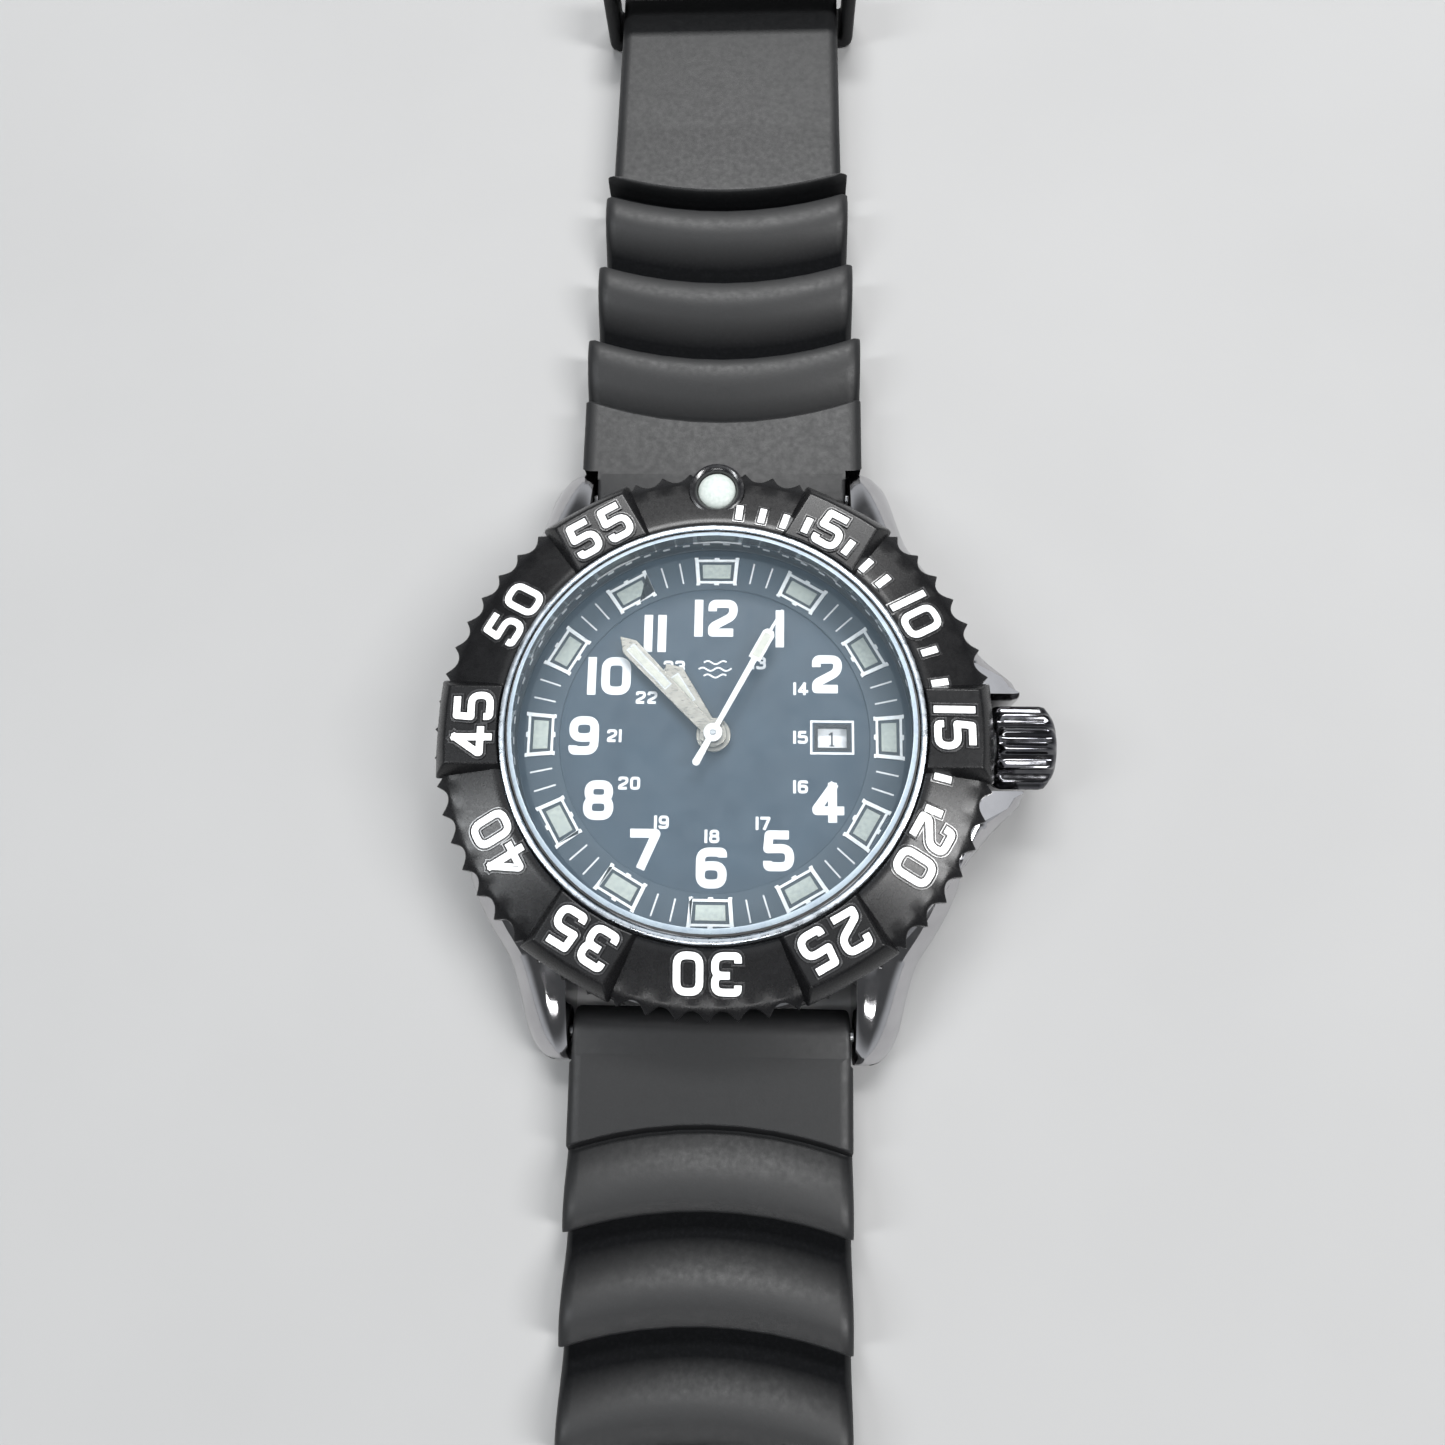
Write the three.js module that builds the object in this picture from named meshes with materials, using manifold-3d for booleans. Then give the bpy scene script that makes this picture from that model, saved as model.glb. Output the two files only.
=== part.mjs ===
// Dive watch on a rubber strap, laid flat. Millimetres: +Z up through the dial, +Y to 12 o'clock, +X to the
// crown. The origin is the centre of the case back's underside, and the strap lies on the same surface.
import * as THREE from "three";
import { mergeVertices } from "three/addons/utils/BufferGeometryUtils.js";
import Module from "manifold-3d";

const wasm = await Module();
wasm.setup();

// ---- Driving dimensions ----
const LUG_GAP = 22; // strap width between the lugs
const CASE_R = 21.4; // widest radius of the case middle
const CASE_BOTTOM = 0.8;
const CASE_SHOULDER = 7.7; // flat shoulder under the bezel
const FLANK_Y = 20.4; // flat case wall between the lugs
const GUARD_BOTTOM = 1.6;
const GUARD_TOP = 7.2;
const CROWN_GAP = 3.7; // half the gap between the crown guards
const BACK_R = 16.1;
const BACK_BORE = 16.3; // recess that takes the case back
const BACK_NOTCHES = 6;
const MOVEMENT_BORE = 15.85;
const NECK_R = 16; // outer radius of the rim that holds the crystal
const NECK_TOP = 12.3;
const LEDGE_R = 15.3; // ledge under the crystal
const LEDGE_TOP = 10.55;
const CRYSTAL_BORE = 15.5;
const CRYSTAL_R = 15.25;
const CRYSTAL_BOTTOM = 10.6;
const CRYSTAL_TOP = 12.8;
const CRYSTAL_CHAMFER = 0.35;
const DIAL_R = 15.75;
const DIAL_BOTTOM = 7.85;
const DIAL_TOP = 8.2;
const INDEX_PLANE = 8.35; // top of the raised index ring
const BEZEL_TIP_R = 21.5;
const BEZEL_ROOT_R = 20.75;
const BEZEL_TEETH = 60;
const BEZEL_BOTTOM = 7.95;
const BEZEL_INNER_TOP = 11.4; // height of the low parts at the inner edge
const BLOCK_COUNT = 6;
const BLOCK_TOP = 12.05;
const PIP_Y = 19.5;
const PIP_BOTTOM = 9.25;
const STEM_Z = 4.9;
const STEM_R = 0.45;
const TUBE_R = 1.55;
const CROWN_START = 22;
const CROWN_END = 26.7;
const CROWN_R = 3.4;
const CROWN_FLUTES = 14;
const BAR_Y = 22.6; // spring bars, from the watch's centre
const BAR_Z = 2.3;
const BAR_TUBE_R = 0.85;
const BAR_TIP_R = 0.48;
const BAR_REACH = 12.6; // half the length over both tips
const STRAP_NOSE_R = 1.95;
const STRAP_NOSE_HALF = LUG_GAP / 2 - 0.25;
const SHOULDER_Y = 25.2; // where the strap widens past the lugs
const TAIL_TOP = 3.9; // top of the strap past the humps
const STRAP_6_TIP = 125;
const STRAP_6_HOLES = 7;
const HOLE_PITCH = 6.2;
const FIRST_HOLE_Y = 76;
const HOLE_R = 1.1;
const BUCKLE_BAR_Y = 95;
const BUCKLE_BAR_Z = 2.4;
const BUCKLE_BAR_R = 0.75;
const PLATE_R = 12.9; // movement main plate
const PLATE_BOTTOM = 6;

const ROUND = 48; // facets on the large round pieces
const BEZEL_ROUND = 60;
const HIDDEN = 36; // facets on the large pieces inside the case
const SMALL = 24;
const TINY = 12;
const COIL_STEPS = 6; // facets on each turn of a coil spring
const DEG = Math.PI / 180;

// ---- Geometry helpers ----

// Merged vertices, no zero-area triangles, faces pointing out.
function closed(geometry) {
  const bare = new THREE.BufferGeometry();
  const source = geometry.index ? geometry.toNonIndexed() : geometry;
  bare.setAttribute("position", source.getAttribute("position"));
  const merged = mergeVertices(bare, 1e-4);
  const at = merged.getAttribute("position");
  const corner = (i) => new THREE.Vector3().fromBufferAttribute(at, i);
  const faces = [];
  let volume = 0;
  for (let i = 0; i < merged.index.count; i += 3) {
    const [a, b, c] = [0, 1, 2].map((k) => merged.index.getX(i + k));
    if (a === b || b === c || a === c) continue;
    faces.push([a, b, c]);
    volume += corner(a).dot(corner(b).cross(corner(c)));
  }
  if (volume < 0) faces.forEach((face) => face.reverse());
  merged.setIndex(faces.flat());
  return merged;
}

function solidOf(geometry) {
  return new wasm.Manifold(
    new wasm.Mesh({
      numProp: 3,
      vertProperties: geometry.getAttribute("position").array,
      triVerts: new Uint32Array(geometry.index.array),
    }),
  );
}

function geometryOf(solid) {
  const mesh = solid.getMesh();
  const geometry = new THREE.BufferGeometry();
  geometry.setAttribute("position", new THREE.BufferAttribute(mesh.vertProperties, 3));
  geometry.setIndex(new THREE.BufferAttribute(mesh.triVerts, 1));
  return geometry;
}

function combine(first, others, how) {
  return geometryOf(others.reduce((all, next) => all[how](solidOf(next)), solidOf(first)));
}
const join = (first, ...others) => combine(first, others, "add");
const cut = (first, ...others) => combine(first, others, "subtract");
const common = (first, ...others) => combine(first, others, "intersect");

// A profile of [radius, z] points turned about Z; it closes on itself or on the axis.
function lathe(profile, facets = ROUND) {
  const ring = profile.every(([r]) => r > 0);
  const points = (ring ? [...profile, profile[0]] : profile).map(([r, z]) => new THREE.Vector2(r, z));
  return closed(new THREE.LatheGeometry(points, facets).rotateX(90 * DEG));
}

const ringOf = (inner, outer, low, high, facets) =>
  lathe([[inner, low], [outer, low], [outer, high], [inner, high]], facets);
const discOf = (radius, low, high, facets) =>
  lathe([[0, low], [radius, low], [radius, high], [0, high]], facets);

// A ring of round section, such as a gasket or a wire.
function torusOf(radius, thickness, z, sides = 4) {
  const section = [];
  for (let i = 0; i < sides; i++) {
    const turn = (i / sides) * 360 * DEG;
    section.push([radius + (thickness / 2) * Math.cos(turn), z + (thickness / 2) * Math.sin(turn)]);
  }
  return lathe(section, HIDDEN);
}

function shapeOf(points, holes = []) {
  const shape = new THREE.Shape(points.map(([x, y]) => new THREE.Vector2(x, y)));
  for (const hole of holes) shape.holes.push(new THREE.Path(hole.map(([x, y]) => new THREE.Vector2(x, y))));
  return shape;
}

// An outline in X and Y, extruded from low to high along Z.
function plate(points, low, high, holes) {
  const options = { depth: high - low, bevelEnabled: false };
  return closed(new THREE.ExtrudeGeometry(shapeOf(points, holes), options).translate(0, 0, low));
}

// An outline in Y and Z, extruded from low to high along X.
function along(points, low, high, holes) {
  const options = { depth: high - low, bevelEnabled: false };
  const cycle = new THREE.Matrix4().set(0, 0, 1, low, 1, 0, 0, 0, 0, 1, 0, 0, 0, 0, 0, 1);
  return closed(new THREE.ExtrudeGeometry(shapeOf(points, holes), options).applyMatrix4(cycle));
}

const toX = (geometry) => closed(geometry.rotateY(90 * DEG));
const moved = (geometry, x, y, z) => geometry.clone().translate(x, y, z);
const turned = (geometry, angle) => geometry.clone().rotateZ(angle);
const box = (x0, x1, y0, y1, z0, z1) => plate([[x0, y0], [x1, y0], [x1, y1], [x0, y1]], z0, z1);

// Points on a round stretch of an outline, from one angle to another in degrees.
function arc(x, y, radius, from, to, steps) {
  const points = [];
  for (let i = 0; i <= steps; i++) {
    const turn = (from + ((to - from) * i) / steps) * DEG;
    points.push([x + radius * Math.cos(turn), y + radius * Math.sin(turn)]);
  }
  return points;
}
const circle = (x, y, radius, steps) => arc(x, y, radius, 0, 360, steps).slice(0, -1);
const polar = ([radius, angle]) => [radius * Math.cos(angle * DEG), radius * Math.sin(angle * DEG)];

const mirrored = (points) => [...points, ...points.map(([x, y]) => [-x, y]).reverse()];

// Toothed outline; a tooth is centred on the direction phase, in degrees. A tipShare of 0 points the teeth.
function toothed(teeth, root, tip, phase, rootShare = 0.3, tipShare = 0) {
  const pitch = 360 / teeth;
  const points = [];
  const tips = tipShare > 0 ? [[tip, -tipShare], [tip, tipShare]] : [[tip, 0]];
  for (let i = 0; i < teeth; i++) {
    const centre = phase + i * pitch;
    for (const [radius, share] of [[root, -rootShare], ...tips, [root, rootShare]]) {
      const turn = (centre + share * pitch) * DEG;
      points.push([radius * Math.cos(turn), radius * Math.sin(turn)]);
    }
  }
  return points;
}

// A small wheel or pinion of the given module.
function gear(teeth, module, phase, low, high, bore = 0) {
  const pitchR = (teeth * module) / 2;
  const outline = toothed(teeth, pitchR - 0.9 * module, pitchR + 0.65 * module, phase);
  return plate(outline, low, high, bore ? [circle(0, 0, bore, TINY)] : []);
}

// Copies of a shape, turned evenly round Z from a first angle in degrees.
function evenly(count, first, geometry) {
  return Array.from({ length: count }, (_, i) => turned(geometry, (first + (i * 360) / count) * DEG));
}

// ---- The object ----
const watch = new THREE.Group();

function finish(color, roughness, metalness) {
  return () => new THREE.MeshStandardMaterial({ color, roughness, metalness });
}
const polishedSteel = finish(0xd4d6d8, 0.15, 1);
const plainSteel = finish(0xa9abad, 0.35, 1);
const blackSteel = finish(0x26272a, 0.35, 0.7);
const darkCrown = finish(0x3a3b3f, 0.22, 0.9);
const rubberBlack = finish(0x3a3c3e, 0.75, 0);
const nitrile = finish(0x151515, 0.6, 0);
const glass = finish(0xdfe8ee, 0.05, 0);
const navy = finish(0x223250, 0.4, 0.1);
const white = finish(0xf2f4f5, 0.5, 0);
const lume = finish(0xdfe6dc, 0.55, 0);
const brass = finish(0xc9a253, 0.3, 1);
const copper = finish(0xb0643a, 0.4, 0.9);
const boardGreen = finish(0x1f5a3c, 0.5, 0);
const plastic = finish(0xdcdcd6, 0.6, 0);

function add(name, geometry, material, group = watch) {
  const mesh = new THREE.Mesh(geometry, material());
  mesh.name = name;
  group.add(mesh);
  return mesh;
}

function groupAt(x, y, z = 0, parent = watch) {
  const group = new THREE.Group();
  group.position.set(x, y, z);
  parent.add(group);
  return group;
}

// ---- Case ----

const flip = (geometry) => turned(geometry, 180 * DEG);
const mirrorX = (geometry) => closed(geometry.clone().scale(-1, 1, 1));
const mirrorY = (geometry) => closed(geometry.clone().scale(1, -1, 1));

function caseBarrel() {
  return lathe([
    [15, CASE_BOTTOM], [19.4, CASE_BOTTOM], [20.8, 2.2], [CASE_R, 4.4], [CASE_R, 6.4],
    [CASE_R - 0.5, CASE_SHOULDER], [NECK_R + 0.35, CASE_SHOULDER], [NECK_R + 0.35, 10.1], [NECK_R, 10.1],
    [NECK_R, NECK_TOP - 0.2], [NECK_R - 0.2, NECK_TOP], [15, NECK_TOP],
  ]);
}

// The lug at the crown side of 12 o'clock: its side profile crossed with its plan.
function lugBody() {
  const gap = LUG_GAP / 2;
  const lugSide = [
    [12, CASE_BOTTOM], [23.5, CASE_BOTTOM], [24.5, 1.4], [24.8, 2.6], [24.4, 4], [23.4, 4.75], [20, 6.1],
    [16, 7.1], [12, 7.5],
  ];
  const lugPlan = [
    [gap, 10], [19.5, 10], [18.2, 13.2], [15.9, 17], [14.9, 20.5], [14.4, 23], [13.5, 24.3], [12.4, 24.8],
    [gap, 24.8],
  ];
  return common(along(lugSide, gap, 20), plate(lugPlan, 0, 9));
}

function guardBody() {
  const plan = [[17, CROWN_GAP], [24, CROWN_GAP], [24.4, 4.2], [21.4, 7.2], [18.6, 10.6], [17, 10.6]];
  return plate(plan, GUARD_BOTTOM, GUARD_TOP);
}

function caseMiddle() {
  const gap = LUG_GAP / 2;
  const clear = 26; // past the ends of the lugs and guards
  const above = 9;
  const lug = lugBody();
  const lugs = [lug, flip(lug), mirrorX(lug), flip(mirrorX(lug))];
  const guard = guardBody();
  const throughBore = lathe([
    [0, 0], [BACK_BORE, 0], [BACK_BORE, 1.35], [MOVEMENT_BORE, 1.35], [MOVEMENT_BORE, 10.2], [LEDGE_R, 10.2],
    [LEDGE_R, LEDGE_TOP], [CRYSTAL_BORE, LEDGE_TOP], [CRYSTAL_BORE, 13], [0, 13],
  ]);
  const springRecess = ringOf(17.1, 19.8, 7.2, 8.5);
  const tubeHole = moved(toX(discOf(TUBE_R + 0.1, 14, 23, TINY)), 0, 0, STEM_Z);
  const barHole = moved(toX(discOf(0.55, -12.9, 12.9, TINY)), 0, 0, BAR_Z);
  return cut(
    join(caseBarrel(), ...lugs, guard, mirrorY(guard)),
    box(-gap, gap, FLANK_Y, clear, 0, above),
    box(-gap, gap, -clear, -FLANK_Y, 0, above),
    box(CASE_R - 0.1, clear, -CROWN_GAP, CROWN_GAP, 0, above),
    throughBore,
    springRecess,
    tubeHole,
    moved(barHole, 0, BAR_Y, 0),
    moved(barHole, 0, -BAR_Y, 0),
  );
}

function caseBack() {
  const body = lathe([
    [0, 0], [BACK_R - 0.5, 0], [BACK_R, 0.4], [BACK_R, 1.25], [BACK_R - 0.5, 1.25], [BACK_R - 0.5, 2.1],
    [14.4, 2.1], [14.4, 1.2], [0, 1.2],
  ]);
  return cut(body, ...evenly(BACK_NOTCHES, 30, box(14.1, 15.4, -1.1, 1.1, -0.2, 0.5)));
}

add("case_middle", caseMiddle(), polishedSteel);
add("case_back", caseBack(), plainSteel);
add("case_back_gasket", torusOf(15.2, 0.6, 2.5), nitrile);
add("crystal_gasket", ringOf(CRYSTAL_R + 0.04, CRYSTAL_BORE - 0.06, CRYSTAL_BOTTOM, 12.2), nitrile);
add(
  "crystal",
  lathe([
    [0, CRYSTAL_BOTTOM], [CRYSTAL_R, CRYSTAL_BOTTOM], [CRYSTAL_R, CRYSTAL_TOP - CRYSTAL_CHAMFER],
    [CRYSTAL_R - CRYSTAL_CHAMFER, CRYSTAL_TOP], [0, CRYSTAL_TOP],
  ]),
  glass,
);
add("flange_ring", lathe([[15.38, 8.4], [15.8, 8.4], [15.8, 10.15], [15.32, 10.15]]), navy);

// ---- Crown, stem and their seals, built along Z and laid along X ----
const stemGroup = groupAt(0, 0, STEM_Z);
stemGroup.rotation.y = 90 * DEG;

const CROWN_FLOOR = CROWN_END - 1.6; // bottom of the crown's bore, where the stem screws in

function crownBody() {
  const plan = toothed(CROWN_FLUTES, CROWN_R - 0.4, CROWN_R, 90, 0.42, 0.2);
  const envelope = lathe([
    [0, CROWN_START], [CROWN_R - 0.7, CROWN_START], [CROWN_R + 0.1, CROWN_START + 0.8],
    [CROWN_R + 0.1, CROWN_END - 0.7], [CROWN_R - 0.7, CROWN_END], [0, CROWN_END],
  ], 2 * CROWN_FLUTES);
  const fluted = common(plate(plan, CROWN_START, CROWN_END), envelope);
  return cut(fluted, discOf(2.1, CROWN_START - 1, CROWN_FLOOR, SMALL));
}

// The stem: a square end for the sliding pinion, a groove for the setting lever, and a plain shank.
function stemBody() {
  return lathe([
    [0, 6.6], [0.3, 6.6], [0.3, 8.9], [STEM_R, 8.9], [STEM_R, 10.9], [0.25, 10.9], [0.25, 11.5],
    [STEM_R, 11.5], [STEM_R, CROWN_FLOOR], [0, CROWN_FLOOR],
  ], TINY);
}
add("crown", crownBody(), darkCrown, stemGroup);
add("crown_tube", ringOf(0.9, TUBE_R, 15.95, 24, SMALL), plainSteel, stemGroup);
add("crown_gasket", ringOf(TUBE_R + 0.1, 2.02, 22.4, 23, SMALL), nitrile, stemGroup);
add("winding_stem", stemBody(), plainSteel, stemGroup);
const clutchTeeth = gear(10, 0.16, 0, 7.4, 8, 0.4);
add("sliding_pinion", join(clutchTeeth, ringOf(0.4, 0.62, 8, 8.7, TINY)), plainSteel, stemGroup);

// ---- Bezel ----

function bezelBody() {
  const outline = toothed(BEZEL_TEETH, BEZEL_ROOT_R, BEZEL_TIP_R, 90, 0.45);
  const cover = lathe([
    [10, BEZEL_BOTTOM], [BEZEL_ROOT_R, BEZEL_BOTTOM], [BEZEL_TIP_R + 0.3, 8.5], [BEZEL_TIP_R + 0.3, 9.9],
    [BEZEL_ROOT_R, 10.5], [NECK_R + 0.8, BEZEL_INNER_TOP], [10, BEZEL_INNER_TOP],
  ], BEZEL_ROUND);
  const lowPart = common(plate(outline, BEZEL_BOTTOM, BLOCK_TOP), cover);
  const blockPlan = [[-3.1, 15.5], [3.1, 15.5], [3.05, 20.2], [-3.05, 20.2]];
  const blockSide = [[14, 10], [21.3, 10], [20.2, BLOCK_TOP - 0.15], [17, BLOCK_TOP], [14, BLOCK_TOP]];
  const block = common(plate(blockPlan, 9, 13), along(blockSide, -4, 4));
  const whole = join(lowPart, ...evenly(BLOCK_COUNT, 30, block));
  const bore = lathe([[0, 7], [16.95, 7], [16.95, 10.3], [16.12, 10.3], [16.12, 13], [0, 13]], BEZEL_ROUND);
  const pipSeat = moved(discOf(1.8, PIP_BOTTOM - 0.05, 13, SMALL), 0, PIP_Y, 0);
  return cut(whole, bore, pipSeat);
}

// The luminous dot: a straight foot under a domed top.
function pipBody() {
  const profile = [[0, PIP_BOTTOM], [1.7, PIP_BOTTOM], [1.7, 10.5], [1.35, 10.95], [0.75, 11.2], [0, 11.3]];
  return moved(lathe(profile, SMALL), 0, PIP_Y, 0);
}
const bezelGroup = groupAt(0, 0);
add("bezel", bezelBody(), blackSteel, bezelGroup);
add("bezel_pip", pipBody(), lume, bezelGroup);
add("bezel_gasket", torusOf(16.65, 0.45, 8.6), nitrile);
add("bezel_retaining_wire", torusOf(16.65, 0.4, 9.3), plainSteel);

// Flat spring ring in the case shoulder, with three raised pawls under the bezel.
function clickSpring() {
  const pawls = evenly(3, 0, box(17.6, 18.6, -1.4, 1.4, 7.35, 7.8));
  return join(ringOf(17.3, 19.5, 7.25, 7.45, HIDDEN), ...pawls);
}
add("bezel_click_spring", clickSpring(), plainSteel);

// ---- Dial ----
const dateWindow = [[8.1, -0.8], [10.35, -0.8], [10.35, 0.8], [8.1, 0.8]];
const handHole = circle(0, 0, 1, TINY);
add("dial", plate(circle(0, 0, DIAL_R, ROUND), DIAL_BOTTOM, DIAL_TOP, [handHole, dateWindow]), navy);
add("index_ring", ringOf(12.1, DIAL_R, DIAL_TOP, INDEX_PLANE), navy);

function dateDisc() {
  const teeth = toothed(31, 8.05, 7.75, 0);
  return plate(circle(0, 0, 11.6, HIDDEN), 7.35, 7.5, [teeth]);
}
add("date_disc", dateDisc(), white);

function dateGuard() {
  const post = discOf(0.25, 6.9, 7.65, 8);
  const posts = [90, 200, 320].map((angle) => moved(post, ...polar([7.2, angle]), 0));
  return join(ringOf(4.9, 8.02, 7.6, 7.72, HIDDEN), ...posts);
}
add("date_disc_guard", dateGuard(), plainSteel);
const jumperPlan = [[5.4, 2.6], [6.1, 2.2], [7.5, 0.5], [7.62, 0], [7.3, -0.1], [6.7, 0.4], [5.2, 2]];
add("date_jumper", plate(jumperPlan, 7.3, 7.5), plainSteel);

// ---- Movement ----

// Axes of the wheels; each centre distance is the sum of the two pitch radii that mesh.
const rotorAt = polar([5.82, 200]);
const fifthAt = polar([2.88, 200]);
const thirdAt = polar([3.4, 100]);
const minuteAt = polar([3.36, 300]);
const dateAt = polar([3.84, 150]);
const batteryAt = [5.7, 5.7];

// Gear modules of the meshing pairs.
const ROTOR_MODULE = 0.14; // rotor pinion and fifth wheel
const SECONDS_MODULE = 0.16; // fifth pinion and seconds wheel
const THIRD_MODULE = 6.8 / 51; // seconds pinion and third wheel
const CENTER_MODULE = 6.8 / 54; // third pinion and centre wheel
const MINUTE_MODULE = 0.21; // cannon pinion and minute wheel
const HOUR_MODULE = 0.168; // minute pinion and hour wheel
const DATE_MODULE = 0.2133; // hour wheel and date driving wheel

function mainPlate() {
  const body = lathe([
    [0.6, PLATE_BOTTOM], [PLATE_R, PLATE_BOTTOM], [PLATE_R, 7.6], [11.8, 7.6], [11.8, 7.2], [7.55, 7.2],
    [7.55, 6.85], [0.6, 6.85],
  ], HIDDEN);
  const post = discOf(0.25, 6.7, 7.3, 8);
  return join(body, moved(post, ...minuteAt, 0), moved(post, ...dateAt, 0));
}
add("main_plate", mainPlate(), brass);

const holder = ringOf(13.1, 15.65, 3, 7.75, HIDDEN);
const stemSlot = moved(toX(discOf(1.4, 12, 17, TINY)), 0, 0, STEM_Z);
add("movement_holder", cut(holder, stemSlot), plastic);

const bridgePlan = [[-7.6, -4.2], [-7.6, 0.6], [-3.8, 5.6], [0.5, 5.6], [1, 1.2], [3.4, -1.4], [3.4, -4.2]];
const screwsAt = [[-5.4, 1.2], [2.6, -3.6]];
const screwHoles = screwsAt.map(([x, y]) => circle(x, y, 0.3, 8));
add("train_bridge", plate(bridgePlan, 3.9, 4.3, screwHoles), brass);

function screw() {
  const head = lathe([[0, 3.5], [0.6, 3.5], [0.6, 3.85], [0.2, 3.85], [0.2, 5.4], [0, 5.4]], TINY);
  return cut(head, box(-0.8, 0.8, -0.1, 0.1, 3.3, 3.62));
}
screwsAt.forEach(([x, y], i) => add(`bridge_screw_${i + 1}`, screw(), plainSteel, groupAt(x, y)));

const boardPlan = [[0.8, 0.6], ...arc(0, 0, 12.6, 87, 290, 24), [4.2, -4.6], [4.2, 0.6]];
const chip = box(-10.2, -8.2, -0.4, 1.6, 2.6, 3.1);
const boardHoles = screwsAt.map(([x, y]) => circle(x, y, 0.8, 8));
add("circuit_board", join(plate(boardPlan, 3, 3.3, boardHoles), chip), boardGreen);
add("quartz_can", moved(toX(discOf(0.7, -5.8, -1, TINY)), 0, -6.4, 2.2), plainSteel);

const winding = moved(toX(discOf(0.85, -5.9, 0.5, TINY)), 0, -9.2, 5);
add("coil", join(winding, box(-7.4, 2.4, -9.7, -8.7, 4.97, 5.12)), copper);
const statorPlan = [
  [-7.4, -0.4], [-3.9, -0.4], [-3.5, -3.4], [2.6, -8.2], [2.6, -9.8], [1.2, -9.8], [1.2, -8.9], [-4.4, -4.6],
  [-6.2, -4.6], [-6.2, -9.8], [-7.6, -9.8],
];
add("stator", plate(statorPlan, 4.7, 4.92, [circle(...rotorAt, 0.95, TINY)]), plainSteel);

// Each wheel: its toothed discs on one arbor, about its own axis.
const arbor = (top) => discOf(0.15, 4.35, top, 8);

function addWheel(name, parts, material, at = [0, 0]) {
  add(name, join(...parts), material, groupAt(...at));
}
addWheel("rotor", [
  discOf(0.7, 4.55, 4.95, TINY),
  gear(6, ROTOR_MODULE, 50, 4.95, 5.2),
  arbor(5.9),
], plainSteel, rotorAt);
addWheel("fifth_wheel", [
  gear(36, ROTOR_MODULE, 200, 5, 5.15),
  gear(6, SECONDS_MODULE, 20, 4.55, 5),
  arbor(5.4),
], brass, fifthAt);
addWheel("seconds_wheel", [
  gear(30, SECONDS_MODULE, 206, 4.6, 4.75),
  gear(6, THIRD_MODULE, 100, 4.75, 5.4),
  arbor(9.9),
], brass);
addWheel("third_wheel", [
  gear(45, THIRD_MODULE, 284, 5.2, 5.35),
  gear(6, CENTER_MODULE, 280, 5.35, 5.72),
  arbor(5.9),
], brass, thirdAt);

// The wheels of the hands turn on tubes, one inside the other.
const CANNON_BORE = 0.24;
const POST_BORE = 0.33;
const HOUR_BORE = 0.5;
addWheel("center_wheel", [
  gear(48, CENTER_MODULE, 103.75, 5.5, 5.65, CANNON_BORE),
  ringOf(CANNON_BORE, 0.42, 5.5, 9.45, TINY),
  gear(8, MINUTE_MODULE, 300, 6.88, 7.05, CANNON_BORE),
], brass);
addWheel("minute_wheel", [
  gear(24, MINUTE_MODULE, 127.5, 6.88, 7.03, POST_BORE),
  gear(8, HOUR_MODULE, 120, 7.03, 7.25, POST_BORE),
], brass, minuteAt);
addWheel("hour_wheel", [
  gear(32, HOUR_MODULE, 305.625, 7.1, 7.25, HOUR_BORE),
  ringOf(HOUR_BORE, 0.72, 7.1, 8.95, TINY),
  gear(12, DATE_MODULE, 150, 7.25, 7.45, HOUR_BORE),
], brass);
add("date_driving_wheel", gear(24, DATE_MODULE, 337.5, 7.3, 7.45, POST_BORE), plastic, groupAt(...dateAt));


// ---- Keyless work and battery ----
const leverHole = [circle(0, 0, 0.25, 8)];
const leverPlan = [[-0.6, 0.6], [-0.6, -0.3], [-1, -2.4], [-0.5, -2.5], [0.1, -0.6], [0.6, -0.6], [0.6, 0.6]];
add("setting_lever", plate(leverPlan, 5.5, 5.75, leverHole), plainSteel, groupAt(11, 3));
const yokePlan = [[-0.5, -0.6], [0.6, -0.6], [3.2, 2], [2.9, 2.4], [0, 0.6], [-0.5, 0.6]];
add("yoke", plate(yokePlan, 3.5, 3.7, leverHole), plainSteel, groupAt(6.6, -3.2));
const cell = lathe([[0, 2.6], [4, 2.6], [4, 2.8], [4.75, 2.8], [4.75, 4.65], [0, 4.65]], SMALL);
add("battery", moved(cell, ...batteryAt, 0), plainSteel);
const clampPlan = [[1.6, 8.6], [3, 10.4], [5.9, 7.4], [10.4, 3], [8.6, 1.6], [4.2, 5.6]];
add("battery_clamp", plate(clampPlan, 2.3, 2.5), plainSteel);

// ---- Hands, drawn pointing to 12 and turned clockwise ----
const HOUR_HAND = { length: 6.9, half: 0.95, z: 8.7, angle: 326 };
const MINUTE_HAND = { length: 10.8, half: 0.75, z: 9.2, angle: 316 };
const SECOND_HAND = { length: 11.2, tail: 2.8, z: 9.68, angle: 28 };

function pencilHand({ length, half, z }, bore, hub) {
  const outline = mirrored([[0.3, 0.6], [half, 1.8], [half, length - half * 1.3], [0.04, length]]).reverse();
  const blade = join(plate(outline, z, z + 0.15), discOf(hub, z, z + 0.2, SMALL));
  return cut(blade, discOf(bore, z - 1, z + 1, TINY));
}
function addHand(name, geometry, angle, material) {
  add(name, geometry, material).rotation.z = -angle * DEG;
}
addHand("hour_hand", pencilHand(HOUR_HAND, 0.76, 1.25), HOUR_HAND.angle, polishedSteel);
addHand("minute_hand", pencilHand(MINUTE_HAND, 0.46, 1), MINUTE_HAND.angle, polishedSteel);

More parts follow.
